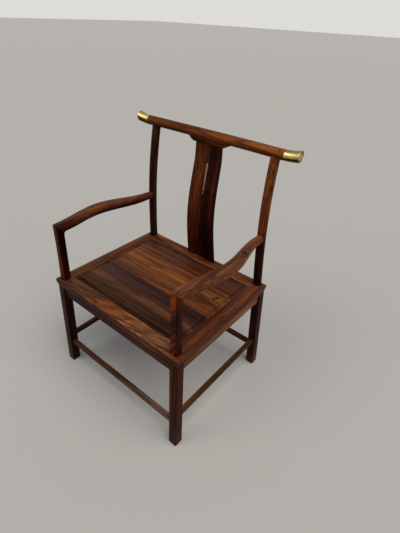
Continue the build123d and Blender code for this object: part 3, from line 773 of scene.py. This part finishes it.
def inlay_strip():
    """Tapered strip set into the splat, round at its wider upper end."""
    length = STRIP_TOP - STRIP_LOW
    shoulder = STRIP_TOP - STRIP_HEAD_ROUND
    rise, less = STRIP_FOOT_EASE
    steps = range(1, int(length / STRIP_STEP))
    levels = [STRIP_LOW + rise] + [STRIP_LOW + step * STRIP_STEP for step in steps]
    rings = [(STRIP_LOW, STRIP_FOOT_HALF - less)]
    for z in levels + [shoulder]:
        rings.append((z, STRIP_FOOT_HALF + (STRIP_HEAD_HALF - STRIP_FOOT_HALF) * (z - STRIP_LOW) / length))
    for angle in quarter(STRIP_HEAD_STEPS)[1:-1]:
        z = shoulder + STRIP_HEAD_HALF * sin(angle) + STRIP_HEAD_STRETCH * (1 - cos(angle))
        rings.append((z, STRIP_HEAD_HALF * cos(angle)))
    made = []
    for z, half in rings:
        near_side = [(half, INLAY_BACK), (half, INLAY_EDGE), (CROWN_WIDTH * half, INLAY_CROWN)]
        far_side = [(-x, behind) for x, behind in near_side]
        ring = far_side + near_side[::-1]
        made.append([place(x, splat_face_y(x, z) + behind, z) for x, behind in ring])
    return extrude_along(made)


def inlay_dot():
    """Small round stud under the strip."""
    rings = []
    for radius, behind in DOT_RINGS:
        y = splat_face_y(0, DOT_HEIGHT) + behind
        rings.append([place(u, y, DOT_HEIGHT + v) for u, v in round_section(2 * radius)])
    return extrude_along(rings)


# ---------------- materials

# Sockets of a Mix node that mixes colours, and its settings where one colour is laid over another.
MIX_BELOW, MIX_ABOVE, MIX_OUT = 6, 7, 2
LAID_OVER = {"data_type": "RGBA", "blend_type": "MULTIPLY"}


def colour(code):
    """sRGB hex to linear RGBA."""
    channels = [int(code[i : i + 2], 16) / 255 for i in (1, 3, 5)]
    return (*[c / 12.92 if c <= 0.04045 else ((c + 0.055) / 1.055) ** 2.4 for c in channels], 1.0)


def add_node(tree, kind, inputs, stops=None, **settings):
    """Add a shader node, set its options and inputs, and link the inputs that are sockets, or nodes by their
    first output."""
    node = tree.nodes.new("ShaderNode" + kind)
    for key, value in settings.items():
        setattr(node, key, value)
    for socket, value in inputs.items():
        if isinstance(value, bpy.types.Node):
            value = value.outputs[0]
        if isinstance(value, bpy.types.NodeSocket):
            tree.links.new(value, node.inputs[socket])
        else:
            node.inputs[socket].default_value = value
    for index, (position, code) in enumerate((stops or {}).items()):
        elements = node.color_ramp.elements
        element = elements[index] if index < 2 else elements.new(position)
        element.position = position
        element.color = colour(code)
    return node


def bare_material(name):
    """A new material whose node tree is empty."""
    material = bpy.data.materials.new(name)
    material.use_nodes = True
    material.node_tree.nodes.clear()
    return material


def show_surface(tree, look):
    """Close a material with the surface that has this look."""
    surface = add_node(tree, "BsdfPrincipled", look)
    add_node(tree, "OutputMaterial", {"Surface": surface})


GRAIN_TURN = {"x": (0, 0, 0), "y": (0, 0, pi / 2), "z": (0, -pi / 2, 0)}

# Figure of the wood, in waves per metre along the grain and across it, then how it is broken up.
# The grain wanders in waves 400 mm long and 80 mm across.
BENDS = ((2.5, 12.0, 12.0), {"Detail": 2.0})
NOISE_MIDDLE = (0.5, 0.5, 0.5)
# Fibre streaks about 6 mm across and 220 mm long, drawn coarser than the real fibres so that they show.
FIBRES = ((4.5, 160.0, 160.0), {"Detail": 5.0, "Roughness": 0.62})
# Open pores 1.2 mm across and 15 mm long, twice their real size so that they show.
PORES = ((65.0, 820.0, 820.0), {"Detail": 1.0})
# Drifts of colour about 45 mm across and 700 mm long.
DRIFTS = ((1.4, 22.0, 22.0), {"Detail": 3.0})
# Growth rings are drawn out along the log; WAVE_PERIOD is a wave's length at scale 1, 2 pi / 20.
RING_STRETCH = (0.12, 1.0, 1.0)
RING_WAVES = {"wave_type": "RINGS", "rings_direction": "X", "wave_profile": "SAW"}
RING_BREAKS = {"Distortion": 1.6, "Detail": 3.0, "Detail Scale": 0.8, "Detail Roughness": 0.6}
WAVE_PERIOD = 0.31416
# Tone of the wood: what fibres and drifts add to it, and its start. Then how far the bands' borders wander,
# a knot in shares of its radius, and the polish.
FIBRE_TONE = 1.5
DRIFT_TONE = 1.4
TONE_START = -0.95
BAND_WANDER = 8.0
KNOT_FRAY = 0.9
KNOT_REACH = 0.7
WOOD_ROUGHNESS = (0.37, 0.5)
WOOD_SPECULAR = 0.05
FIBRE_RELIEF = 0.35
PORE_DEPTH = 0.15


def rosewood(
    name, tones, grain, pith, lean=(0, 0, 0), ring=9.0, wander=8.0, veins=0.55, bands=(), knots=(), slant=0
):
    """Rosewood, planed, oiled and rubbed to a satin: dark growth veins, fibre streaks along the grain,
    short open pores, and slow drifts of colour between red, orange and purple brown."""
    material = bare_material(name)
    tree = material.node_tree
    on_piece = add_node(tree, "TexCoord", {}).outputs["Object"]
    space = on_piece
    if slant:
        # Above the seat the grain runs aslant, by this much sideways up to the arm.
        height = add_node(tree, "SeparateXYZ", {0: space}).outputs["Z"]
        climb = {"From Min": RAIL_UNDER * MM, "From Max": ARM_TOP * MM, "To Max": slant * MM}
        rise = add_node(tree, "MapRange", {"Value": height, **climb})
        shove = add_node(tree, "CombineXYZ", {"X": rise})
        space = add_node(tree, "VectorMath", {0: space, 1: shove}, operation="ADD")
    turn = [a + b for a, b in zip(GRAIN_TURN[grain], lean)]
    laid = {"Vector": space, "Location": place(*pith), "Rotation": turn}
    log = add_node(tree, "Mapping", laid, vector_type="TEXTURE")

    # The grain bends slowly, by up to wander millimetres either way.
    waves, breaks = BENDS
    stretched = add_node(tree, "VectorMath", {0: log, 1: waves}, operation="MULTIPLY")
    bend = add_node(tree, "TexNoise", {"Vector": stretched, "Scale": 1.0, **breaks})
    centred = add_node(tree, "VectorMath", {0: bend.outputs["Color"], 1: NOISE_MIDDLE}, operation="SUBTRACT")
    moved = add_node(tree, "VectorMath", {0: centred, "Scale": 2 * wander * MM}, operation="SCALE")
    bent = add_node(tree, "VectorMath", {0: log, 1: moved}, operation="ADD")
    figures = []
    for waves, breaks in (FIBRES, PORES, DRIFTS):
        stretched = add_node(tree, "VectorMath", {0: bent, 1: waves}, operation="MULTIPLY")
        noise = add_node(tree, "TexNoise", {"Vector": stretched, "Scale": 1.0, **breaks})
        figures.append(noise)
    fibre, pore, drift = figures

    # Growth rings of the real spacing, with a dark vein at the end of each year.
    drawn_out = add_node(tree, "VectorMath", {0: bent, 1: RING_STRETCH}, operation="MULTIPLY")
    spacing = {"Vector": drawn_out, "Scale": WAVE_PERIOD / (ring * MM)}
    rings = add_node(tree, "TexWave", {**spacing, **RING_BREAKS}, **RING_WAVES)
    darkening = {"From Min": 0.6, "From Max": 0.97, "To Min": 1.0, "To Max": 1.0 - veins}
    vein = add_node(tree, "MapRange", {"Value": rings.outputs["Fac"], **darkening})
    opening = {"From Min": 0.6, "From Max": 0.7, "To Min": 1.0, "To Max": 0.5}
    pores = add_node(tree, "MapRange", {"Value": pore, **opening})
    streaks = add_node(tree, "Math", {0: fibre, 1: FIBRE_TONE, 2: TONE_START}, operation="MULTIPLY_ADD")
    tone = add_node(tree, "Math", {0: drift, 1: DRIFT_TONE, 2: streaks}, operation="MULTIPLY_ADD")
    shade = add_node(tree, "ValToRGB", {"Fac": tone}, stops=tones)
    layers = [vein, pores]
    # Each band is laid over the wood: some are its colour, some painted shade.
    for direction, low, high, tints in bands:
        across = add_node(tree, "VectorMath", {0: on_piece, 1: direction}, operation="DOT_PRODUCT")
        waver = {0: drift, 1: BAND_WANDER * MM, 2: across.outputs["Value"]}
        wavy = add_node(tree, "Math", waver, operation="MULTIPLY_ADD")
        start, end = [(edge + BAND_WANDER / 2) * MM for edge in (low, high)]
        share = add_node(tree, "MapRange", {"Value": wavy, "From Min": start, "From Max": end})
        layers.append(add_node(tree, "ValToRGB", {"Fac": share}, stops=tints))
    for middle, radius in knots:
        # A knot's dark heart, ragged where the fibres part round it.
        reach = add_node(tree, "VectorMath", {0: on_piece, 1: place(*middle)}, operation="DISTANCE")
        fray = {0: fibre, 1: -KNOT_FRAY * radius * MM, 2: reach.outputs["Value"]}
        ragged = add_node(tree, "Math", fray, operation="MULTIPLY_ADD")
        heart = {"From Min": 0, "From Max": KNOT_REACH * radius * MM, "To Min": 0.2, "To Max": 1.0}
        layers.append(add_node(tree, "MapRange", {"Value": ragged, **heart}))
    for layer in layers:
        laid = add_node(tree, "Mix", {"Factor": 1.0, MIX_BELOW: shade, MIX_ABOVE: layer}, **LAID_OVER)
        shade = laid.outputs[MIX_OUT]

    # The fibres carry the polish unevenly, and the pores stay open in it.
    smooth, dull = WOOD_ROUGHNESS
    sheen = {"From Min": 0.3, "From Max": 0.7, "To Min": smooth, "To Max": dull}
    polish = add_node(tree, "MapRange", {"Value": fibre, **sheen})
    relief = add_node(tree, "Math", {0: fibre, 1: FIBRE_RELIEF, 2: pores}, operation="MULTIPLY_ADD")
    bump = add_node(tree, "Bump", {"Height": relief, "Strength": 0.5, "Distance": PORE_DEPTH * MM})
    look = {"Base Color": shade, "Roughness": polish, "Normal": bump, "Specular IOR Level": WOOD_SPECULAR}
    show_surface(tree, look)
    return material


# Polishing lines 0.4 mm apart that run round the bar, stains about 11 mm wide, and painted shade on a
# sleeve's underside and, thinner, on its back: dark reflections painted into the colour, set a little lower
# on the right cap. The painted shade follows the rising tip.
POLISH_WAVES = (2500.0, 40.0, 40.0)
POLISH_DEPTH = 0.04
STAIN_WAVES = 90.0
CAP_SHADE_LEAN = 0.14
CAP_SHADE_RIGHT = (993, 1040)
CAP_SHADE_LEFT = (1004, 1045)
CAP_PAINTED_SHADE = {
    0.0: "#30290e", 0.2: "#4c431c", 0.34: "#988a54", 0.46: "#fff6dc", 0.74: "#fffaf0", 0.86: "#b4b096",
    1.0: "#908c70",
}


def brass(name, tints, roughness, side=0):
    """Brass, turned and hand polished: faint lines round the sleeve, soft stains and a warm, clear
    reflection. A side gives the cap on that side its painted shade: dark reflections painted on its underside
    and, thinner, on its back."""
    material = bare_material(name)
    tree = material.node_tree
    on_piece = add_node(tree, "TexCoord", {}).outputs["Object"]
    stretched = add_node(tree, "VectorMath", {0: on_piece, 1: POLISH_WAVES}, operation="MULTIPLY")
    lines = add_node(tree, "TexNoise", {"Vector": stretched, "Scale": 1.0, "Detail": 2.0})
    stain = add_node(tree, "TexNoise", {"Vector": on_piece, "Scale": STAIN_WAVES, "Detail": 4.0})
    shade = add_node(tree, "ValToRGB", {"Fac": stain}, stops=dict(zip((0.35, 0.7), tints)))
    # Painted shade on a cap: dark reflections painted on its underside and back.
    if side:
        upward = (-side * CAP_SHADE_LEAN, 0.5, 1)
        height = add_node(tree, "VectorMath", {0: on_piece, 1: upward}, operation="DOT_PRODUCT")
        low, high = CAP_SHADE_RIGHT if side > 0 else CAP_SHADE_LEFT
        reach = {"From Min": low * MM, "From Max": high * MM}
        share = add_node(tree, "MapRange", {"Value": height.outputs["Value"], **reach})
        painted_shade = add_node(tree, "ValToRGB", {"Fac": share}, stops=CAP_PAINTED_SHADE)
        laid = add_node(tree, "Mix", {"Factor": 1.0, MIX_BELOW: shade, MIX_ABOVE: painted_shade}, **LAID_OVER)
        shade = laid.outputs[MIX_OUT]
    sheen = {"From Min": 0.3, "From Max": 0.7, "To Min": roughness - 0.06, "To Max": roughness + 0.08}
    rough = add_node(tree, "MapRange", {"Value": stain, **sheen})
    relief = {"Height": lines, "Strength": 0.25, "Distance": POLISH_DEPTH * MM}
    bump = add_node(tree, "Bump", relief)
    show_surface(tree, {"Base Color": shade, "Metallic": 1.0, "Roughness": rough, "Normal": bump})
    return material


# Tones of the logs, from the darkest streaks to the lightest.
DARK = {0.0: "#140703", 0.3: "#281006", 0.55: "#3d1d0d", 0.8: "#553016", 1.0: "#6b4122"}
EBON = {0.0: "#0d0502", 0.3: "#1f0d05", 0.55: "#32190b", 0.8: "#472812", 1.0: "#5c361b"}
RED = {0.0: "#1d0b06", 0.28: "#3a1a0d", 0.5: "#572c16", 0.75: "#713e20", 1.0: "#8a5329"}
RUSSET = {0.0: "#22100a", 0.28: "#472516", 0.5: "#673c24", 0.75: "#825330", 1.0: "#9b6b3e"}
SOFT = {0.0: "#3a1e12", 0.28: "#573020", 0.5: "#714228", 0.75: "#875431", 1.0: "#98633c"}
CHESTNUT = {0.0: "#2a130a", 0.28: "#522a16", 0.5: "#764424", 0.75: "#945d35", 1.0: "#ad7645"}
AMBER = {0.0: "#2a1108", 0.28: "#552a13", 0.5: "#7c4522", 0.75: "#985b2d", 1.0: "#b0743c"}
FLAME = {0.0: "#0c0402", 0.3: "#2c1307", 0.48: "#64300e", 0.7: "#92521b", 1.0: "#b06c28"}
GOLDEN = {0.0: "#3e2419", 0.25: "#744a36", 0.45: "#a07250", 0.7: "#b08254", 1.0: "#bc9060"}
OLIVE = {0.0: "#1c0e05", 0.3: "#3b2310", 0.55: "#573819", 0.8: "#745024", 1.0: "#8e6833"}
SMOKE = {0.0: "#2c1c14", 0.3: "#4c382a", 0.55: "#6c5444", 0.8: "#8e7464", 1.0: "#b09a88"}
FIGURE = {0.0: "#5e484e", 0.3: "#988484", 0.5: "#c2b4ae", 0.75: "#dfcdc0", 1.0: "#f0dccc"}

# Bands of colour across a piece, some of them its wood and some painted shade: direction, start and end in
# millimetres from the middle of the footprint, and the tints laid over the wood. The first and the last tint
# go on past their stops.
RIGHTWARD = (1, 0, 0)
BACKWARD = (0, 1, 0)
UPWARD = (0, 0, 1)
BOARD_BANDS = (
    BACKWARD,
    -210,
    202,
    {
        0.0: "#482f24", 0.13: "#573a2a", 0.2: "#7a543c", 0.28: "#563a30", 0.397: "#4c302a",
        0.403: "#7f4f33", 0.5: "#875534", 0.596: "#8b5634", 0.602: "#a66a38", 0.7: "#9d6336",
        0.8: "#7e4a30", 0.822: "#78462e", 0.828: "#8a5438", 0.91: "#683d2c", 1.0: "#4b332a",
    },
)
FRONT_LEG_BANDS = (UPWARD, 0, ARM_TOP, {0.6: "#bca648", 0.66: "#e0b07c"})
LEFT_POST_BANDS = (UPWARD, 0, ARM_TOP, {0.6: "#b4a8a0", 0.66: "#fcc480"})
# Painted shade: the left arm post darker on its right-hand side, the side towards the seat.
LEFT_POST_SIDE_SHADE = (RIGHTWARD, -302, -268, {0.75: "#e4dcd0", 0.92: "#6c4c44"})
LEFT_ELBOW_BANDS = (BACKWARD, -245, -90, {0.0: "#94746a", 0.3: "#a48474", 1.0: "#ffffff"})
# Painted shade: the left arm darker on its underside than on its top.
LEFT_ARM_UNDERSIDE_SHADE = (UPWARD, 625, 668, {0.0: "#50382c", 0.35: "#7c6050", 0.75: "#f0e4d8", 1.0: "#ffffff"})
# Painted shade: the right front leg and post darker towards their right-hand side.
RIGHT_POST_SIDE_SHADE = (RIGHTWARD, 268, 298, {0.8: "#ffffff", 0.95: "#a8847c"})
# Right rear leg: lighter at the foot, and darker from just above it up to the arm, partly its own dark wood
# and partly painted shade under the arm.
REAR_LEG_DARK_WOOD_AND_SHADE = (
    UPWARD,
    0,
    CREST_AXIS,
    {0.0: "#b8a070", 0.06: "#70503f", 0.42: "#643d34", 0.66: "#704438", 0.72: "#e8d0b0", 1.0: "#f4e4cc"},
)
RIGHT_RAIL_BANDS = (
    RIGHTWARD,
    OPENING_X,
    HALF_WIDTH,
    {0.4: "#b8a098", 0.62: "#fff4e8", 0.85: "#d4c0ac", 1.0: "#c8b09c"},
)
# Painted shade: the front rail darker on its front face and cove than on its top and lip.
FRONT_RAIL_FACE_SHADE = (UPWARD, RAIL_UNDER, SEAT_TOP, {0.8: "#96705e", 0.93: "#ffffff"})
FRONT_RAIL_BANDS = (
    (1, -1.5, 0),
    40,
    640,
    {
        0.0: "#8c7779", 0.25: "#9a8478", 0.33: "#86707c", 0.42: "#c8a478", 0.47: "#94747a",
        0.56: "#dcb48c", 0.66: "#e8d0bc", 0.92: "#fff6f0", 1.0: "#a88c78",
    },
)
STRETCHER_BANDS = (RIGHTWARD, -280, 280, {0.0: "#b49078", 0.5: "#b0947c", 0.7: "#e4d8d4", 1.0: "#fff4f0"})
SPLAT_BANDS = (
    RIGHTWARD,
    -66,
    66,
    {
        0.0: "#f4f0d8", 0.4: "#dcccb8", 0.58: "#8c6c68", 0.68: "#664a4a", 0.78: "#745450",
        0.84: "#d4ac8c", 0.93: "#a88068", 1.0: "#6c4c40",
    },
)
SPLAT_FALL = (
    UPWARD,
    SEAT_TOP,
    SPLAT_TOP,
    {0.0: "#e09a80", 0.12: "#b88878", 0.42: "#dcc4b8", 0.56: "#fff4e4", 1.0: "#fff8ec"},
)
# Painted shade: the crest rail darker on its underside than on its top.
CREST_UNDERSIDE_PAINTED_SHADE = ((0, 0.5, 1), 1050, 1088, {0.0: "#94785e", 0.22: "#bca894", 0.42: "#f8f0e8", 1.0: "#ffffff"})


# ---------------- dressing the chair


def finish_wood(piece, node, made, slot, *log, **figure):
    """Finish a piece in rosewood from a log of its own."""
    finish_piece(piece, node, made, rosewood(f"rosewood_{node}", *log, **figure), slot)


def dress_side(side, tag):
    """Legs, arm, side rail, apron, stretcher and cap of one side of the chair."""
    right = side > 0
    if right:
        log = (FLAME, "z", (480, -233, 200))
        # The second band is painted shade on the right-hand side of the post.
        figure = {"bands": [FRONT_LEG_BANDS, RIGHT_POST_SIDE_SHADE], "slant": -220}
    else:
        log = (RED, "z", (-300, -300, 200), (0.03, 0.05, 0))
        # The second band is painted shade on the right-hand side of the post.
        figure = {"bands": [LEFT_POST_BANDS, LEFT_POST_SIDE_SHADE]}
    finish_wood(front_leg(side), f"front_leg_{tag}", "turned", "leg_rosewood", *log, **figure)

    # The right rear leg's band is partly dark wood and partly painted shade under the arm.
    tones, bands = (AMBER, [REAR_LEG_DARK_WOOD_AND_SHADE]) if right else (DARK, [])
    log = (tones, "z", (side * 330, 250, 500), (0.02, 0.04, 0))
    finish_wood(rear_leg(side), f"rear_leg_{tag}", "turned", "leg_rosewood", *log, bands=bands)

    # The left arm's first band is painted shade on its underside.
    bands = [] if right else [LEFT_ARM_UNDERSIDE_SHADE, LEFT_ELBOW_BANDS]
    knots = [((307, 75, 657), 14)] if right else [((-308, -60, 670), 7)]
    log = (SOFT, "y", (side * 280, 0, 610), (0.03, 0, 0.04))
    figure = {"ring": 11, "wander": 12, "veins": 0.4, "bands": bands, "knots": knots}
    finish_wood(arm(side), f"arm_{tag}", "carved", "arm_rosewood", *log, **figure)

    tones, bands = (SOFT, [RIGHT_RAIL_BANDS]) if right else (RUSSET, [])
    log = (tones, "y", (side * 300, 0, 390), (0.04, 0, 0.05))
    finish_wood(seat_rail(side, True), f"seat_rail_{tag}", "moulded", "side_rail_rosewood", *log, bands=bands)

    log = (CHESTNUT if right else DARK, "y", (side * 250, 0, 350), (0.02, 0, 0.03))
    finish_wood(apron(side, True), f"apron_{tag}", "planed", "apron_rosewood", *log)

    log = (OLIVE if right else DARK, "y", (side * 290, 0, 100), (0.02, 0, 0.02))
    finish_wood(stretcher(side, True), f"stretcher_{tag}", "planed", "stretcher_rosewood", *log)

    metal = brass(f"brass_cap_{tag}", ("#bcac72", "#dccd98"), 0.27, side)
    finish_piece(crest_cap(side), f"crest_cap_{tag}", "turned", metal, "cap_brass")


def dress_back():
    """Crest rail, splat and the metal let into the splat."""
    log = (AMBER, "x", (0, 300, 900), (0, 0.02, 0.03))
    # The crest's band is painted shade on its underside.
    figure = {"ring": 10, "wander": 15, "bands": [CREST_UNDERSIDE_PAINTED_SHADE], "knots": [((285, 245, 953), 5)]}
    finish_wood(crest_rail(), "crest_rail", "carved", "crest_rosewood", *log, **figure)
    log = (RED, "z", (30, 320, 600), (0.04, 0.05, 0))
    figure = {"ring": 14, "veins": 0.3, "bands": [SPLAT_BANDS, SPLAT_FALL]}
    finish_wood(back_splat(), "back_splat", "carved", "splat_rosewood", *log, **figure)
    metal = brass("brass_inlay", ("#8c7258", "#a68c70"), 0.4)
    finish_piece(inlay_strip(), "splat_inlay_bar", "set", metal, "inlay_brass")
    metal = brass("brass_stud", ("#c8aa8c", "#dcc2a6"), 0.3)
    finish_piece(inlay_dot(), "splat_inlay_dot", "set", metal, "inlay_brass")


def dress_across():
    """Rails, aprons and stretchers that run across the chair."""
    log = (GOLDEN, "x", (120, -225, 375), (0, 0.05, 0.14))
    # The front rail's first band is painted shade on its front face.
    figure = {"ring": 8, "wander": 14, "bands": [FRONT_RAIL_FACE_SHADE, FRONT_RAIL_BANDS]}
    finish_wood(seat_rail(-1, False), "seat_rail_front", "moulded", "rail_rosewood", *log, **figure)
    log = (CHESTNUT, "x", (0, 260, 380), (0, 0.03, 0.02))
    finish_wood(seat_rail(1, False), "seat_rail_rear", "moulded", "rail_rosewood", *log)
    log = (EBON, "x", (0, -200, 330), (0, 0.02, 0.01))
    finish_wood(apron(-1, False), "apron_front", "planed", "apron_rosewood", *log)
    log = (RED, "x", (0, 200, 330), (0, 0.02, 0.01))
    finish_wood(apron_rear(), "apron_rear", "sawn", "apron_rosewood", *log)
    for side_y, tag, tones, bands in ((-1, "front", SMOKE, [STRETCHER_BANDS]), (1, "rear", DARK, [])):
        log = (tones, "x", (0, side_y * 280, 80), (0, 0.02, 0.02))
        piece = stretcher(side_y, False)
        finish_wood(piece, f"stretcher_{tag}", "planed", "stretcher_rosewood", *log, bands=bands)


def dress_panel():
    """The four boards of the seat, and a plain wood for the two battens under them."""
    edges = (OPENING_FRONT, *BOARD_JOINTS, OPENING_REAR)
    piths = ((60, -120, 330), (-200, 10, 300), (150, 60, 320), (-100, 190, 330))
    names = ("front", "mid_front", "mid_rear", "rear")
    figure = {"ring": 8, "wander": 4, "veins": 0.4, "bands": [BOARD_BANDS]}
    for tag, front, rear, pith in zip(names, edges, edges[1:], piths):
        log = (FIGURE, "x", pith, (0, 0.02, 0.01))
        figure["knots"] = [((223, 62, 435), 9), ((215, 50, 435), 8)] if tag == "mid_rear" else []
        piece = seat_board(front, rear)
        finish_wood(piece, f"seat_board_{tag}", "fielded", "board_rosewood", *log, **figure)
    wood = rosewood("rosewood_batten", RED, "y", (100, 0, 380))
    for tag in ("left", "right"):
        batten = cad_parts[f"seat_batten_{tag}"]
        batten.data.materials.clear()
        batten.data.materials.append(wood)


# ---------------- room

FLOOR_SIZE = 90
FLOOR_COLOUR = colour("#b8b6b1")
AIR_COLOUR = colour("#f4f6ff")
AIR_STRENGTH = 0.32
WALL_COLOUR = colour("#dedcd6")

# Lamps: name, place in metres, width of the light in degrees, strength, and the way the light goes.
LAMP_COLOUR = (1.0, 0.965, 0.92)
LAMPS = (
    ("broad_lamp", (1.3, -0.2, 2.7), 50, 1.8, (-0.5, 0.05, -1)),
    ("glint_lamp", (-0.8, -1.2, 1.5), 38, 0.7, (0.38, 0.68, -0.62)),
)

# Camera: turned, tilted and rolled in degrees, its place, and its lens for a frame 400 pixels wide.
CAMERA_YAW = 37.7654
CAMERA_PITCH = 34.4578
CAMERA_ROLL = 2.8033
CAMERA_PLACE = (816.8, -817.9, 1299.7)
SENSOR = 36
FOCAL_PIXELS = 370
FRAME_HEIGHT = 533


def lay_floor():
    """Pale honed stone, too dull to mirror the chair."""
    bpy.ops.object.select_all(action="DESELECT")
    bpy.ops.mesh.primitive_plane_add(size=FLOOR_SIZE, location=(0, 0, 0))
    floor = bpy.context.object
    floor.name = "studio_floor"
    material = bare_material("honed_stone_floor")
    look = {"Base Color": FLOOR_COLOUR, "Roughness": 0.8, "Specular IOR Level": 0.1}
    show_surface(material.node_tree, look)
    floor.data.materials.append(material)


def fill_air():
    """Even, faint sky light, with a pale wall where the camera, gloss or glass looks past the floor."""
    world = bpy.data.worlds.new("studio_air")
    bpy.context.scene.world = world
    world.use_nodes = True
    tree = world.node_tree
    tree.nodes.clear()
    rays = add_node(tree, "LightPath", {}).outputs
    seen = rays["Is Camera Ray"]
    for ray in ("Is Glossy Ray", "Is Transmission Ray"):
        seen = add_node(tree, "Math", {0: seen, 1: rays[ray]}, operation="MAXIMUM")
    air = add_node(tree, "Background", {"Color": AIR_COLOUR, "Strength": AIR_STRENGTH})
    wall = add_node(tree, "Background", {"Color": WALL_COLOUR, "Strength": 1.0})
    both = add_node(tree, "MixShader", {0: seen, 1: air, 2: wall})
    add_node(tree, "OutputWorld", {"Surface": both})


def hang_lamps():
    """A broad lamp from above on the right, and a weaker one from the front left that glints on the brass."""
    for name, spot, width, strength, way in LAMPS:
        bpy.ops.object.light_add(type="SUN", location=spot)
        lamp = bpy.context.object
        lamp.name = name
        lamp.data.angle = radians(width)
        lamp.data.energy = strength
        lamp.data.color = LAMP_COLOUR
        lamp.rotation_euler = Vector(way).to_track_quat("-Z", "Y").to_euler()


def set_camera():
    """The camera, above the chair's right front corner and slightly rolled."""
    yaw, pitch, roll = [radians(angle) for angle in (CAMERA_YAW, CAMERA_PITCH, CAMERA_ROLL)]
    back = Vector((sin(yaw) * cos(pitch), -cos(yaw) * cos(pitch), sin(pitch)))
    right = Vector((cos(yaw), sin(yaw), 0))
    up = back.cross(right)
    rolled_right = cos(roll) * right + sin(roll) * up
    rolled_up = cos(roll) * up - sin(roll) * right
    turn = Matrix((rolled_right, rolled_up, back)).transposed().to_4x4()
    lens = bpy.data.cameras.new("studio_camera")
    lens.lens = SENSOR * FOCAL_PIXELS / FRAME_HEIGHT
    camera = bpy.data.objects.new("studio_camera", lens)
    bpy.context.scene.collection.objects.link(camera)
    camera.matrix_world = Matrix.Translation(place(*CAMERA_PLACE)) @ turn
    bpy.context.scene.camera = camera


lay_floor()
fill_air()
hang_lamps()
set_camera()
dress_side(-1, "left")
dress_side(1, "right")
dress_back()
dress_across()
dress_panel()
bpy.context.scene.view_settings.view_transform = "Standard"
bpy.context.view_layer.update()
